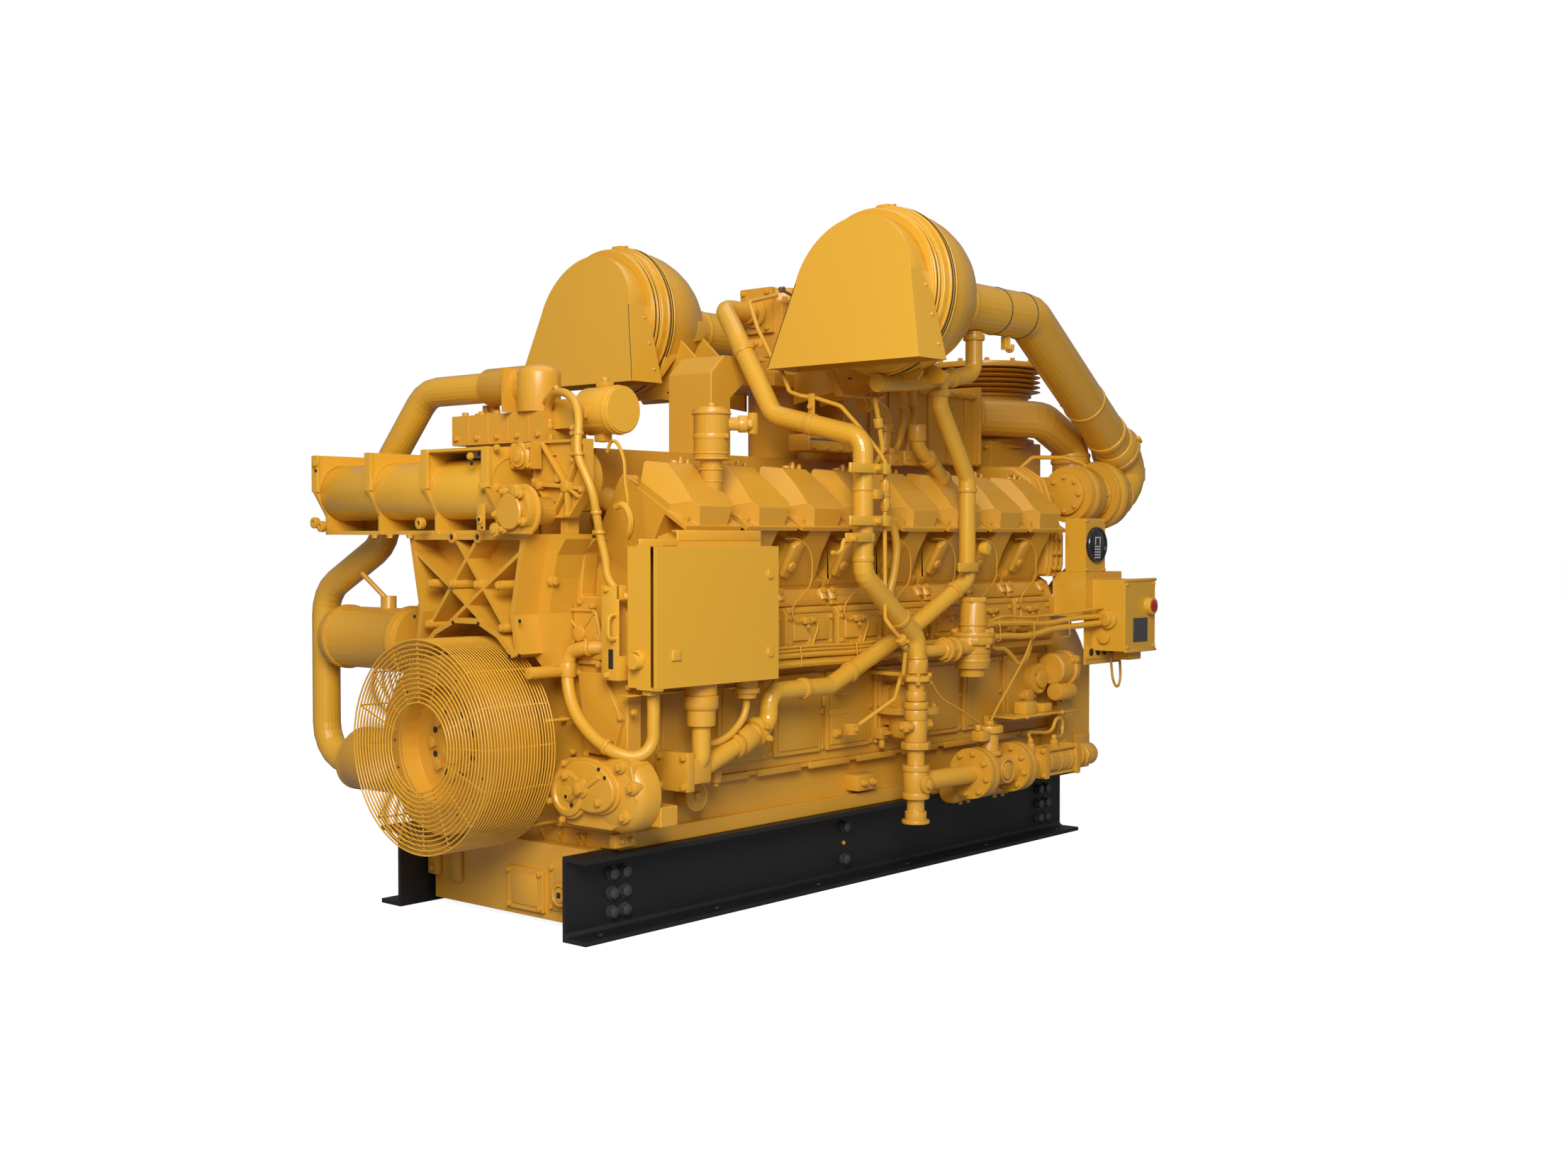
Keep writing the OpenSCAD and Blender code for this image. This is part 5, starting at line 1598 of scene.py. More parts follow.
    def hoses(self) -> None:
        """Thin pipes and hoses over the train."""
        hoses = Piece("train_hoses", HOSE)
        for radius, route in self.routes:
            hoses.hose(route, radius, 14)
        hoses.done()
        shelf = Piece("train_shelf", SHEET)
        shelf.box((588, -505, 424), (952, -398, 430), 2).box((588, -404, 400), (952, -384, 430), 2)
        shelf.box((676, -486, 430), (742, -440, 470), 4).box((786, -480, 430), (840, -440, 458), 4)
        shelf.bolts([(652, -505, 427), (860, -505, 427)], OUT, 11, 6, 2).done()

    def build(self) -> None:
        """Adds them all."""
        self.flanges()
        self.caps()
        self.accumulator()
        self.filter()
        self.hoses()


@dataclass(frozen=True)
class Conduits:
    """The bundle of tubes along the side, with their ties."""

    rear_runs: tuple[tuple[float, tuple[Point, ...]], ...] = (
        (
            9,
            (
                (400, -470, 690), (458, -472, 716), (628, -480, 722), (797, -490, 716), (927, -510, 728),
                (1040, -540, 732),
            ),
        ),
        (
            10,
            (
                (400, -474, 668), (525, -478, 684), (690, -484, 681), (825, -496, 698), (927, -520, 704),
                (1040, -550, 712),
            ),
        ),
        (5, ((400, -462, 700), (560, -466, 742), (700, -470, 738), (840, -486, 742), (1040, -548, 760))),
    )

    def build(self) -> None:
        """Adds them."""
        tubes = Piece("side_tubes", HOSE)
        for radius, y, z in ((5, -436, 690), (4, -442, 681), (8, -440, 668), (10, -442, 644)):
            tubes.hose([
                (-592, y, z), (-300, y - 2, z + 2), (-120, y, z - 1), (-20, y + 3, z + 1), (40, y + 16, z),
            ], radius, 14)
        for radius, route in self.rear_runs:
            tubes.hose(route, radius, 14)
        tubes.done()
        ties = Piece("tube_ties", HOSE)
        for x in (-500, -385, -142):
            ties.pipe([(x, -428, 696), (x, -452, 694), (x + 3, -455, 640), (x + 3, -428, 634)], 1.8, 8, 8)
        for x, y in ((520, -480), (700, -488), (880, -506)):
            ties.pipe([
                (x, y + 14, 726), (x, y - 11, 724), (x + 3, y - 13, 672), (x + 3, y + 14, 668),
            ], 1.8, 8, 8)
        ties.done()


@dataclass(frozen=True)
class RearBoxes:
    """The dial, knob, glands and perforated tab of the two boxes at the back."""

    dial_at: Point = (1054, -510, 966)

    def dial(self) -> None:
        """The round gauge on the upper box."""
        Piece("dial_bezel", DIAL).lathe([
            (50, 0), (59, 0), (59, 8), (56, 12), (51, 10), (50, 6), (50, 0),
        ], self.dial_at, OUT, 64).done()
        screws = Piece("instrument_box_screws", CAST)
        screws.bolts([(x, -510, z) for x in (1000, 1108) for z in (885, 1045)], OUT, 9, 5, 1.5).done()
        Piece("dial_face", DIAL).rod(self.dial_at, (1054, -519, 966), 51, 0.5, 64).done()
        marks = Piece("dial_marks", MARK)
        marks.box((1038, -520, 988), (1070, -518.6, 992), 0.3, 1)
        marks.box((1038, -520, 966), (1041, -518.6, 988), 0.3, 1)
        marks.box((1067, -520, 966), (1070, -518.6, 988), 0.3, 1)
        for row in range(5):
            for k in range(3):
                marks.box(
                    (1036 + 13 * k, -520, 958 - 9 * row), (1044 + 13 * k, -518.6, 963 - 9 * row), 0.3, 1,
                )
        marks.done()

    def knob(self) -> None:
        """The stop knob, its plate, and the bare plate below the box."""
        Piece("knob_collar", DIAL).lathe([
            (0, 0), (24, 0), (24, 6), (18, 8), (18, 16), (0, 16),
        ], (1190, -630, 764), OUT, 40).done()
        Piece("knob_cap", RED).lathe([
            (0, 0), (19, 0), (21, 4), (20, 9), (12, 12), (0, 13),
        ], (1190, -645, 764), OUT, 40).done()
        edge = Piece("rear_box_fittings", SHEET)
        edge.box((1036, -634, 846), (1242, -628, 856), 2.5).box((1036, -634, 614), (1242, -628, 624), 2.5)
        edge.rod((1040, -572, 722), (1024, -572, 722), 30, 3, 36)
        edge.rod((1024, -572, 722), (1012, -568, 722), 21, 3, 28)
        edge.rod((1040, -556, 664), (1026, -556, 664), 22, 3, 32)
        edge.box((1120, -600, 586), (1200, -540, 620), 4)
        edge.bolts([
            (1052, -630, 838), (1226, -630, 838), (1052, -630, 632), (1226, -630, 632),
        ], OUT, 10, 5, 1.5)
        edge.done()
        Piece("rear_box_plate", PLATE).box((1092, -633.2, 648), (1182, -629.5, 726), 0.6, 1).done()
        tab = Piece("perforated_tab", SHEET)
        tab.box((996, -514, 590), (1226, -509, 636), 2)
        tab.rod((1136, -512, 600), (1136, -520, 600), 9, 1.5, 20)
        tab.rod((1186, -512, 616), (1186, -520, 616), 9, 1.5, 20).done()
        # Painted shade: dark discs stand for the shade inside the tab's perforations.
        holes = Piece("tab_holes", SHADE_PAINT)
        for x in (1024, 1066, 1108, 1150, 1196):
            holes.rod((x, -513.4, 613), (x, -514.6, 613), 13, 0, 28)
        holes.done()
        loop = Piece("rear_cable_loop", HOSE)
        loop.hose([
            (1136, -522, 606), (1138, -524, 556), (1150, -526, 508), (1170, -527, 492), (1188, -526, 508),
            (1194, -524, 556), (1186, -522, 620),
        ], 4.5, 12)
        loop.done()

    def build(self) -> None:
        """Adds them all."""
        self.dial()
        self.knob()


# ---------------------------------------------------------------- the top and the rear


@dataclass(frozen=True)
class TopCentre:
    """The cooler's ribs and bolts, the mixer, and the small parts under the air cleaners."""

    arch_y: float = -350

    def cooler(self) -> None:
        """Ribs, strips and bolts down both sides of the cooler, and its end flange."""
        ribs = Piece("cooler_ribs", CAST)
        for x in (183, 298, 398, 492, 606, 712, 812):
            ribs.box((x, -157, 1244), (x + 10, -149, 1452), 2)
        ribs.box((164, -162, 1450), (868, -148, 1468), 3).box((164, -162, 1228), (868, -148, 1246), 3)
        ribs.box((862, -164, 1228), (880, -20, 1468), 3).both_sides().done()
        bolts = Piece("cooler_bolts", CAST)
        bolts.bolts([(190 + 51.0 * n, -162, z) for n in range(14) for z in (1459, 1237)], OUT, 12, 7, 2)
        bolts.bolts([
            (880, y, z) for y in (-152, -90, -30) for z in (1242, 1296, 1350, 1404, 1456)
        ], REAR, 12, 7, 2)
        bolts.both_sides().done()

    def mixer(self) -> None:
        """Flanges, bolts, throttle shaft and lever of the mixer, and the gas inlet's clamp."""
        mixer = Piece("mixer_flanges", CAST)
        mixer.rod((60, 0, 1518), (60, 0, 1534), 104, 3, 8).rod((60, 0, 1468), (60, 0, 1482), 108, 3, 48)
        mixer.box((-32, -96, 1684), (152, 96, 1698), 4, 3)
        mixer.bolts([
            (60 + 92 * math.cos(a), 92 * math.sin(a), 1534) for a in evenly(8, 0.39)
        ], UP, 14, 9, 2)
        mixer.bolts([(x, y, 1698) for x in (-18, 60, 138) for y in (-80, 80)], UP, 14, 9, 2)
        mixer.bolts([(-58, y, z) for y in (-48, 48) for z in (1614, 1721)], FRONT, 14, 9, 2)
        mixer.rod((-58, 0, 1660), (-72, 0, 1660), 44, 3, 40).rod((-84, 0, 1660), (-100, 0, 1660), 34, 2, 40)
        mixer.box((-100, -6, 1690), (-84, 6, 1706), 2).rod((60, -90, 1610), (60, -118, 1610), 13, 2, 24)
        mixer.rod((60, 90, 1610), (60, 104, 1610), 16, 2, 24)
        mixer.rod((20, -90, 1570), (20, -100, 1570), 24, 3, 6).box((-24, -97, 1556), (144, -89, 1564), 2)
        mixer.slab([(48, -118, 1602), (64, -118, 1598), (84, -118, 1668), (70, -118, 1672)], OUT, 6, 1.5)
        mixer.rod((77, -112, 1664), (77, -132, 1664), 6, 1, 16).done()
        links = Piece("mixer_link", MACHINED)
        links.pipe([(77, -128, 1664), (20, -130, 1688), (-88, -128, 1716)], 4.5, 10, 12)
        links.rod((-88, -122, 1716), (-88, -138, 1716), 9, 1.5, 20).done()

    def under_cleaners(self) -> None:
        """The bracket angle, block, boxes and arch in the space under the left air cleaner."""
        parts = Piece("deck_fittings", CAST)
        parts.box((-110, -252, 1240), (160, -170, 1290), 6, 3)
        parts.box((162, -342, 1203), (226, -296, 1239), 6, 3)
        parts.box((230, -342, 1206), (342, -298, 1250), 6, 3)
        parts.slab([
            (-157, self.arch_y, 1458), (-110, self.arch_y, 1389), (42, self.arch_y, 1390),
            (70, self.arch_y, 1413), (70, self.arch_y, 1422), (36, self.arch_y, 1398),
            (-104, self.arch_y, 1398), (-146, self.arch_y, 1458),
        ], OUT, 26, 2)
        parts.rod((-20, -210, 1290), (-20, -210, 1312), 22, 3, 6)
        parts.rod((80, -210, 1290), (80, -210, 1304), 18, 3, 32)
        parts.rod((194, -318, 1239), (194, -318, 1256), 15, 2, 6)
        parts.bolts([(x, -252, 1252) for x in (-92, -30, 30, 92, 142)], OUT, 13, 8, 2)
        parts.bolts([(184, -342, 1221), (248, -342, 1228), (322, -342, 1228)], OUT, 11, 6, 2).done()
        Piece("deck_strip", MACHINED).box((-108, -255, 1272), (158, -251, 1278), 0.8, 1).done()
        tubes = Piece("deck_tubes", TUBE)
        tubes.pipe([
            (70, -300, 1381), (135, -300, 1385), (193, -300, 1357), (193, -300, 1317), (179, -300, 1241),
        ], 19, 34, 22)
        tubes.pipe([(252, -320, 1441), (253, -320, 1329), (230, -320, 1274), (230, -300, 1240)], 11, 26, 18)
        tubes.pipe([(297, -320, 1444), (305, -320, 1363), (283, -320, 1272), (283, -310, 1240)], 11, 26, 18)
        tubes.pipe([
            (238, -382, 1318), (240, -382, 1268), (266, -382, 1240), (314, -382, 1214), (390, -384, 1151),
            (450, -388, 1046),
        ], 21, 30, 24)
        tubes.hose([
            (-58, -478, 1043), (-24, -480, 1034), (1, -480, 991), (2, -480, 916), (-19, -470, 816),
        ], 12, 18)
        tubes.done()
        tubes = Piece("vent_branch", TUBE)
        tubes.pipe([(172, -529, 1448), (40, -529, 1433), (-150, -529, 1416)], 26, 10, 28).done()
        cuffs = Piece("deck_tube_cuffs", CAST)
        cuffs.rod((320, -529, 1590), (320, -529, 1572), 32, 2, 36)
        cuffs.rod((214, -529, 1456), (198, -529, 1453), 29.5, 2, 36)
        cuffs.rod((146, -529, 1416), (146, -529, 1396), 32, 3, 36)
        cuffs.rod((192, -300, 1330), (190, -300, 1304), 25, 3, 32)
        cuffs.rod((182, -300, 1262), (179, -300, 1244), 26, 3, 6)
        cuffs.rod((84, -300, 1381), (100, -300, 1383), 25, 3, 32)
        cuffs.rod((253, -320, 1384), (253, -320, 1372), 15, 2, 28)
        cuffs.rod((300, -320, 1396), (301, -320, 1384), 15, 2, 28)
        cuffs.rod((238, -382, 1326), (239, -382, 1276), 28, 4, 36)
        cuffs.rod((284, -382, 1230), (306, -382, 1218), 27, 3, 36)
        cuffs.rod((362, -383.5, 1173), (376, -384, 1162), 26, 2, 36)
        cuffs.rod((438, -387, 1066), (448, -388, 1050), 27, 3, 6)
        cuffs.rod((-52, -478.5, 1042), (-38, -479, 1039), 15, 2, 28)
        cuffs.rod((-14, -473, 834), (-18, -471, 818), 15, 2, 28).done()

    def build(self) -> None:
        """Adds them all."""
        self.cooler()
        self.mixer()
        self.under_cleaners()


@dataclass(frozen=True)
class AirCleaners:
    """The ribs, bands and clips of the air cleaners, and the seams of their rain hoods."""

    centre: Pair = (-529.0, 1670.0)

    def build(self) -> None:
        """Adds them to both cleaners."""
        y, z = self.centre
        ribs = Piece("cleaner_ribs", SHEET)
        for x in (-176, -160):
            ribs.ring((x, y, z), FRONT, 218, 4.2, 96, 10)
        for x in (-123, -99):
            ribs.ring((x, y, z), FRONT, 230, 4.6, 96, 10)
        ribs.box((-128, y - 20, z + 228), (-92, y + 20, z + 240), 3)
        ribs.rod((-110, y - 34, z + 236), (-110, y + 34, z + 236), 4.5, 1, 14).both_sides().done()
        # Painted shade: thin dark rings stand for the shade in the grooves at the bands' edges.
        lines = Piece("cleaner_band_lines", SHADE_PAINT)
        for x, radius in ((-168, 218), (-153, 218), (-116, 232.4), (-106, 232.4)):
            lines.ring((x, y, z), FRONT, radius, 1.7, 96, 8)
        lines.both_sides().done()
        plates = Piece("cleaner_plates", SHEET)
        plates.slab([
            (-58, -330, 1676), (91, -330, 1674), (67, -330, 1618), (-17, -330, 1598), (-122, -330, 1484),
            (-134, -330, 1496),
        ], OUT, 5, 1.5)
        plates.box((-60, -372, 1440), (72, -352, 1448), 2)
        plates.bolts([
            (-40, -335, 1656), (20, -335, 1650), (70, -335, 1656), (-96, -335, 1520),
        ], OUT, 13, 8, 2)
        plates.both_sides().done()
        # Painted shade: a thin dark line stands for the shade in each hood's seam.
        seams = Piece("hood_seams", SHADE_PAINT)
        edge = [
            (-312.8 + 0.2 * (h - 1458), y + r, h)
            for h, r in ((1462, 259), (1560, 233), (1640, 211), (1696, 197))
        ]
        seams.hose(edge, 1.0, 8).both_sides().done()
        rivets = Piece("hood_rivets", SHEET)
        for side in (-1, 1):
            for h, s in ((1500, 243), (1580, 222), (1660, 201)):
                rivets.ball((-210, y + side * (s + 8.4), h), 5, 14)
        rivets.both_sides().done()


@dataclass(frozen=True)
class IntakePipes:
    """The bands, clamps and flared couplings on the two intake pipes."""

    start: Vector = Vector((610.0, -529.0, 1670.0))
    end: Vector = Vector((1470.0, -380.0, 1254.0))

    def place(self, x: float) -> Vector:
        """The point of the slanting pipe's centre line at an x."""
        return self.start.lerp(self.end, (x - self.start.x) / (self.end.x - self.start.x))

    def sleeve(
        self, low: float, high: float, radius: float, radius_end: float | None = None, bevel: float = 2.0,
    ) -> Item:
        """A sleeve about the slanting pipe."""
        return Bench.rod(tuple(self.place(low)), tuple(self.place(high)), radius, bevel, 56, radius_end)

    def build(self) -> None:
        """Adds them to both pipes."""
        # Painted shade: thin dark rings stand for the shade in the grooves round each pipe.
        lines = Piece("intake_band_lines", SHADE_PAINT)
        for x in (420, 560):
            lines.ring((x, -529, 1670), FRONT, 71, 1.6, 72, 8)
        lines.both_sides().done()
        bands = Piece("intake_bands", SHEET)
        bands.rod((176, -529, 1670), (196, -529, 1670), 77, 3, 56)
        bands.rod((236, -529, 1670), (250, -529, 1670), 73.5, 2, 56)
        bands.box((184, -540, 1740), (204, -518, 1756), 3).box((486, -545, 1560), (492, -513, 1600), 2)
        bands.pipe([
            (488, -529, 1602), (488, -529, 1570), (503, -529, 1556), (526, -529, 1560), (528, -529, 1578),
        ], 6, 10, 14)
        bands.add(
            self.sleeve(1080, 1092, 73.5), self.sleeve(1268, 1290, 75), self.sleeve(1330, 1372, 74, 84),
            self.sleeve(1372, 1392, 86, bevel=4),
        )
        way = (self.end - self.start).normalized()
        side = way.cross(UP).normalized()
        lift = side.cross(way)
        for turn in (0.4, 2.5, 4.4):
            spot = self.place(1382) + (side * math.cos(turn) + lift * math.sin(turn)) * 88
            bands.bolts([tuple(spot - way * 12)], -way, 12, 8, 2)
            bands.rod(tuple(spot - way * 12), tuple(spot + way * 12), 6, 1, 12)
        for x in (1279, 1086):
            spot = self.place(x) - side * 76
            bands.box(tuple(spot - Vector((10, 7, 12))), tuple(spot + Vector((10, 7, 12))), 2.5)
        bands.rod((1345, -380, 1135), (1362, -380, 1135), 80, 3, 56)
        bands.rod((1400, -380, 1135), (1412, -380, 1135), 74, 2, 56).both_sides().done()


class Breather:
    """The lips, outlet clamp and cap knob of the crankcase breather."""

    def build(self) -> None:
        """Adds them."""
        x, y = -700, -418
        body = Piece("breather_lips", CAST)
        for height, radius, wire in (
            (1204, 46.5, 2.6), (1190, 46, 3.2), (1163, 30, 3.0), (1132, 29.5, 2.4), (1306, 49, 2.6),
        ):
            body.ring((x, y, height), UP, radius, wire, 56, 10)
        body.rod((x, y, 1314), (x, y, 1322), 40, 3, 40).rod((x, y, 1322), (x, y, 1334), 12, 3, 6)
        body.rod((-648, -463, 1280), (-630, -478.5, 1280), 22, 3, 32)
        body.rod((-630, -478.5, 1280), (-620, -487, 1280), 15, 2, 6)
        body.box((-622, -492, 1254), (-602, -470, 1310), 4).rod((x, y, 1240), (x, y, 1254), 48, 2, 48)
        body.bolts([(x, y - 49, 1247)], OUT, 11, 7, 2).done()


@dataclass(frozen=True)
class Rear:
    """The turbochargers' scrolls and bands, charge pipe clamps and the exhaust's bolts."""

    case_half: tuple[Pair, ...] = (
        (-398, 866), (-408, 905), (-408, 1000), (-340, 1180), (-270, 1222), (-150, 1226),
    )
    starter: Point = (970, -430, 560)

    def turbochargers(self) -> None:
        """Scrolls, V-bands, bolts and oil lines of both turbochargers."""
        y, z = -380, 1135
        turbo = Piece("turbo_scrolls", CAST)
        turbo.ring((1285, y, z), FRONT, 84, 34, 72, 24).ring((1137, y, z), FRONT, 66, 34, 64, 20)
        turbo.rod((1186, y, z), (1198, y, z), 72, 4, 48).rod((1226, y, z), (1240, y, z), 84, 4, 48)
        turbo.rod((1085, y, z), (1070, y, z), 70, 4, 48).rod((1205, y, z + 50), (1205, y, z + 76), 16, 2, 6)
        turbo.rod((1205, y, z - 50), (1205, y, z - 82), 20, 3, 6)
        ring = [(y + 76 * math.cos(a), z + 76 * math.sin(a)) for a in evenly(8)]
        turbo.bolts([(1226, b, c) for b, c in ring], FRONT, 12, 8, 2)
        turbo.bolts([(1070, y + (b - y) * 0.75, z + (c - z) * 0.75) for b, c in ring], FRONT, 13, 8, 2)
        turbo.both_sides().done()
        lines = Piece("turbo_oil_lines", TUBE)
        lines.pipe([
            (1205, -380, 1205), (1205, -380, 1240), (1150, -330, 1262), (1060, -260, 1262),
            (1000, -220, 1200), (1000, -200, 1120),
        ], 7, 26, 14)
        lines.pipe([
            (1205, -380, 1060), (1205, -380, 980), (1180, -360, 900), (1120, -320, 840), (1080, -300, 790),
        ], 15, 40, 20)
        lines.both_sides().done()

    def pipes(self) -> None:
        """Sleeves and clamps on the charge pipes."""
        sleeves = Piece("charge_sleeves", HOSE)
        sleeves.rod((1285, -272, 1242), (1285, -272, 1284), 67, 4, 48)
        sleeves.rod((896, -105, 1400), (928, -105, 1400), 68, 4, 48).both_sides().done()
        clamps = Piece("charge_clamps", CAST)
        for height in (1252, 1274):
            clamps.rod((1285, -272, height - 5), (1285, -272, height + 5), 69, 1.5, 48)
        for x in (902, 918):
            clamps.rod((x, -105, 1400), (x + 8, -105, 1400), 70, 1.5, 48)
        clamps.box((1345, -282, 1246), (1360, -262, 1258), 2).box((1345, -282, 1268), (1360, -262, 1280), 2)
        clamps.both_sides().done()

    def exhaust(self) -> None:
        """Bolts round the exhaust's flange, on the collector and on the flywheel housing."""
        bolts = Piece("exhaust_bolts", CAST)
        bolts.bolts(circle((1150, 0, 1595), UP, 178, evenly(12, 0.13)), UP, 16, 10, 3)
        bolts.bolts([(990, y, z) for y in (-122, -60, 0, 60, 122) for z in (1020, 1300)], FRONT, 14, 9, 3)
        bolts.bolts([
            (1300, y, z) for y in (-122, -60, 0, 60, 122) for z in (1020, 1160, 1300)
        ], REAR, 14, 9, 3)
        bolts.rod((1150, 0, 1318), (1150, 0, 1332), 176, 4, 72)
        bolts.rod((1150, 0, 1478), (1150, 0, 1490), 166, 4, 72).done()
        housing = Piece("housing_bolts", CAST)
        turns = [math.radians(-8 + 14 * k) for k in range(15)]
        housing.bolts(circle((1205, 0, CRANK_Z), REAR, 372, turns), REAR, 17, 10, 3)
        housing.bolts([(x, -410, 560) for x in (966, 1012)], OUT, 17, 10, 3)
        housing.rod((1030, -398, 300), (1030, -398, 320), 20, 3, 6)
        housing.box((1096, -412, 290), (1190, -398, 330), 5).both_sides().done()
        # Painted shade: dark discs stand for the shade inside the side plate's holes.
        holes = Piece("housing_holes", SHADE_PAINT)
        for x, z in ((1005, 452), (1024, 408), (1005, 347)):
            holes.rod((x, -409, z), (x, -410.8, z), 8, 0, 20)
        holes.done()
        lug = Piece("starter_housing", CAST)
        lug.lathe([
            (0, 0), (46, 0), (52, 6), (52, 70), (60, 74), (60, 92), (0, 92),
        ], (905, -430, 560), REAR, 48)
        lug.lathe([(0, 0), (26, 2), (30, 8), (30, 96), (0, 96)], (902, -446, 486), REAR, 36)
        screws = circle(self.starter, REAR, 58, (0.5, 2.6, 4.7))
        for x, y, z in screws:
            lug.rod((x, y, z), (x + 26, y, z), 15, 3, 24)
        lug.bolts(screws, FRONT, 15, 10, 3).done()

    def rear_case(self) -> None:
        """The ribbed casting behind the last heads, under the turbochargers."""
        case = Piece("rear_case", CAST)
        outline = [(922, y, z) for y, z in self.case_half] + [
            (922, -y, z) for y, z in reversed(self.case_half)
        ]
        case.slab(outline, REAR, 92, 10, 4)
        for x in (934, 966, 998):
            case.slab([(x, y * 1.02, 1040 + (z - 1040) * 1.02) for _, y, z in outline], REAR, 8, 2)
        for y in (-330, -190, 190, 330):
            case.box((1012, y - 5, 880), (1030, y + 5, 1100), 2)
        for y, facing in ((-414, OUT), (414, ACROSS)):
            case.bolts([(x, y, z) for x in (950, 982) for z in (890, 940, 990)], facing, 15, 9, 3)
        case.done()

    def build(self) -> None:
        """Adds them all."""
        self.turbochargers()
        self.pipes()
        self.exhaust()
        self.rear_case()


ASSEMBLIES: tuple[type, ...] = (
    Rails, OilPan, Crankcase, Heads, WireGuard, Damper, FrontSupport, FrontTray, GearCase, OilPump,
    CoverAndPumps, FrontHoses, ControlBox, Glands, PipeClamps, GasColumn, GasTrain, Conduits, RearBoxes,
    TopCentre, AirCleaners, IntakePipes, Breather, Rear,
)


# ---------------------------------------------------------------- stage


@dataclass(frozen=True)
class Studio:
    """The plain floor, the soft lamps and the camera."""

    eye: Vector = Vector((-4.0056, -3.5071, 0.9796))
    sight: Vector = Vector((0.75786, 0.65186, -0.02692))
    lens: float = 40.3
    ambient: float = 0.245
    floor_glow: float = 0.9
    key: float = 500.0
    overhead: float = 60.0

    def camera(self) -> None:
        """Sets the camera at its place, looking a little down along the engine."""
        data = bpy.data.cameras.new("camera")
        data.sensor_fit = "HORIZONTAL"
        data.sensor_width = 36.0
        data.lens = self.lens
        item = bpy.data.objects.new("camera", data)
        item.location = self.eye
        item.rotation_euler = self.sight.to_track_quat("-Z", "Y").to_euler()
        bpy.context.scene.collection.objects.link(item)
        bpy.context.scene.camera = item

    def world(self) -> None:
        """White to the camera, and a plain soft light on everything else."""
        world = bpy.data.worlds.new("studio")
        bpy.context.scene.world = world
        world.use_nodes = True
        tree = world.node_tree
        back = tree.nodes["Background"]
        back.inputs["Color"].default_value = (1.0, 1.0, 1.0, 1.0)
        path = tree.nodes.new("ShaderNodeLightPath")
        mix = tree.nodes.new("ShaderNodeMix")
        mix.inputs["A"].default_value = self.ambient
        mix.inputs["B"].default_value = 1.0
        tree.links.new(path.outputs["Is Camera Ray"], mix.inputs["Factor"])
        tree.links.new(mix.outputs["Result"], back.inputs["Strength"])

    def floor(self) -> None:
        """A pale floor that glows white to the camera and keeps a faint shadow."""
        Bench.clear()
        bpy.ops.mesh.primitive_plane_add(size=240.0, location=(0, 0, -0.0005))
        floor = Bench.settle()
        floor.name = "floor"
        material = bpy.data.materials.new("pale_floor")
        material.use_nodes = True
        tree = material.node_tree
        shader = tree.nodes["Principled BSDF"]
        shader.inputs["Base Color"].default_value = (0.4, 0.4, 0.41, 1.0)
        shader.inputs["Roughness"].default_value = 0.9
        shader.inputs["Specular IOR Level"].default_value = 0.1
        shader.inputs["Emission Color"].default_value = (1.0, 1.0, 1.0, 1.0)
        path = tree.nodes.new("ShaderNodeLightPath")
        lift = tree.nodes.new("ShaderNodeMath")
        lift.operation = "MULTIPLY"
        lift.inputs[1].default_value = self.floor_glow
        tree.links.new(path.outputs["Is Camera Ray"], lift.inputs[0])
        tree.links.new(lift.outputs[0], shader.inputs["Emission Strength"])
        floor.data.materials.append(material)

    def lamp(
        self, name: str, place: Point, towards: Point, size: Pair, power: float,
        tint: tuple[float, float, float] = (1.0, 1.0, 1.0),
    ) -> None:
        """Hangs one soft rectangular lamp."""
        data = bpy.data.lights.new(name, "AREA")
        data.shape = "RECTANGLE"
        data.size, data.size_y = size
        data.energy = power
        data.color = tint
        item = bpy.data.objects.new(name, data)
        item.location = place
        item.rotation_euler = (Vector(towards) - Vector(place)).to_track_quat("-Z", "Y").to_euler()
        bpy.context.scene.collection.objects.link(item)

    def build(self) -> None:
        """Sets up the whole studio."""
        self.camera()
        self.world()
        self.floor()
        self.lamp("key", (-5.2, -4.3, 3.8), (0.0, -0.2, 0.8), (3.0, 3.0), self.key)
        self.lamp("overhead", (0.0, 0.0, 5.4), (0.0, 0.0, 0.8), (5.0, 3.4), self.overhead)
        bpy.context.scene.view_settings.view_transform = "Standard"
        LOG.info("studio: camera, floor and lamps are up")


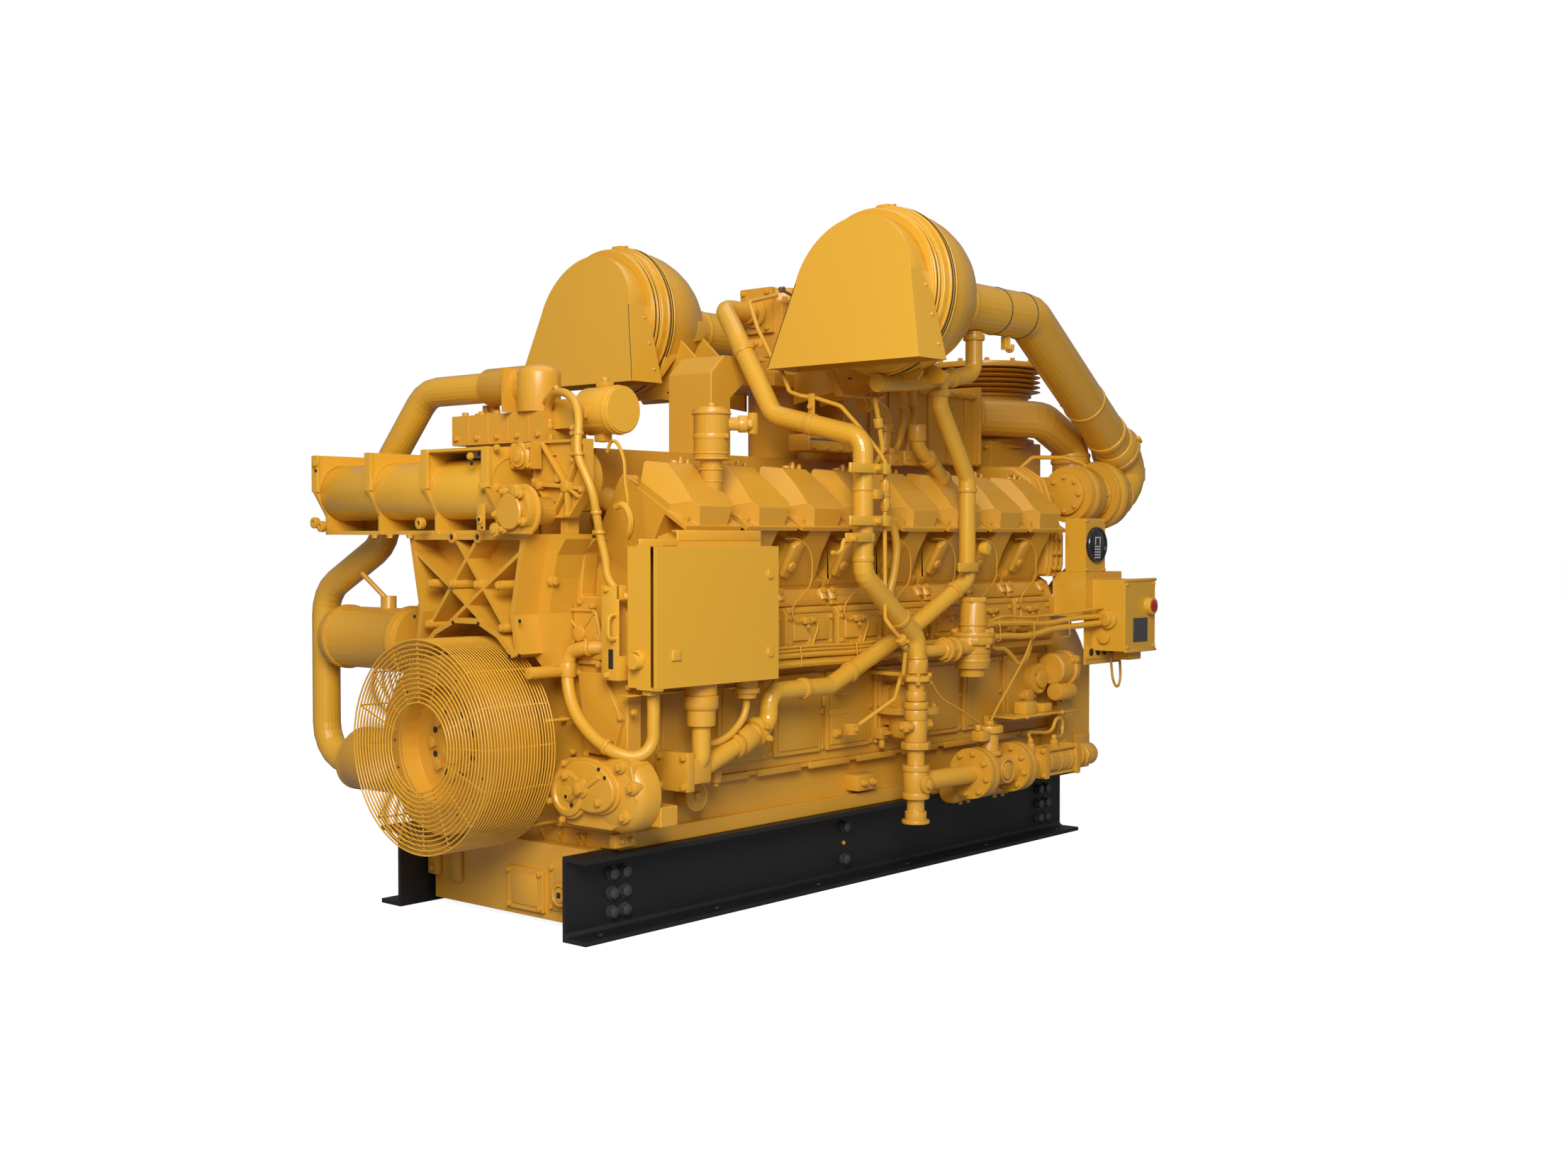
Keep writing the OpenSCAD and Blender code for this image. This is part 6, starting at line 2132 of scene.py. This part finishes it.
COATS: tuple[tuple[Coat, tuple[str, ...]], ...] = (
    (Coat(RAIL, 1.0), ("rail_left", "rail_right")),
    (
        Coat(CAST, 3.0),
        (
            "oil_pan", "crankcase_covers", "camshaft_covers", "aftercooler", "carburettor",
            "thermostat_housing", "coolant_elbow", "oil_cooler", "crank_damper", "exhaust_outlet",
            "breather",
        ),
    ),
    (
        Coat(CAST, 4.0),
        (
            "engine_block", "exhaust_manifold", "centre_post", "auxiliary_pump", "coolant_pump",
            "flywheel_housing",
        ),
    ),
    (Coat(CAST, 5.0), ("cylinder_heads_left", "cylinder_heads_right", "front_gear_case")),
    (Coat(CAST, 11.0, 4), ("rocker_covers_left", "rocker_covers_right")),
    (Coat(CAST, 2.0), ("gear_case_covers", "front_support", "gas_column", "gas_train")),
    (Coat(CAST, 12.0, 4), ("oil_pump",)), (Coat(SHEET, 1.5), ("front_tray", "cleaner_brackets")),
    (Coat(TUBE, 3.0), ("header_cylinder",)), (Coat(CAST, 1.5), ("ribbed_cover",)),
    (
        Coat(TUBE),
        (
            "coolant_pipe", "guard_face", "guard_barrel", "intake_pipes", "gas_pipe", "vent_pipe",
            "side_conduits",
        ),
    ),
    (
        Coat(SHEET, 2.0),
        (
            "expansion_canister", "air_cleaner_left", "air_cleaner_right", "control_box",
            "control_box_door", "rear_control_box", "instrument_box",
        ),
    ),
    (Coat(MACHINED), ("crankshaft",)), (Coat(MACHINED, 2.0), ("flywheel",)),
    (Coat(CAST, 6.0), ("turbochargers",)), (Coat(CAST), ("charge_pipes",)),
    (Coat(SHEET, 1.0), ("rain_hoods",)), (Coat(CAST, 2.5), ("gas_filter",)),
)


def main() -> None:
    """Dresses the engine and sets up the studio."""
    logging.basicConfig(level=logging.INFO, format="%(name)s: %(message)s")
    Studio().build()
    for coat, nodes in COATS:
        for node in nodes:
            coat.dress(node)
    for assembly in ASSEMBLIES:
        assembly().build()
    Bench.sweep_away()
    LOG.info("the engine is dressed")


if __name__ == "__main__":
    main()
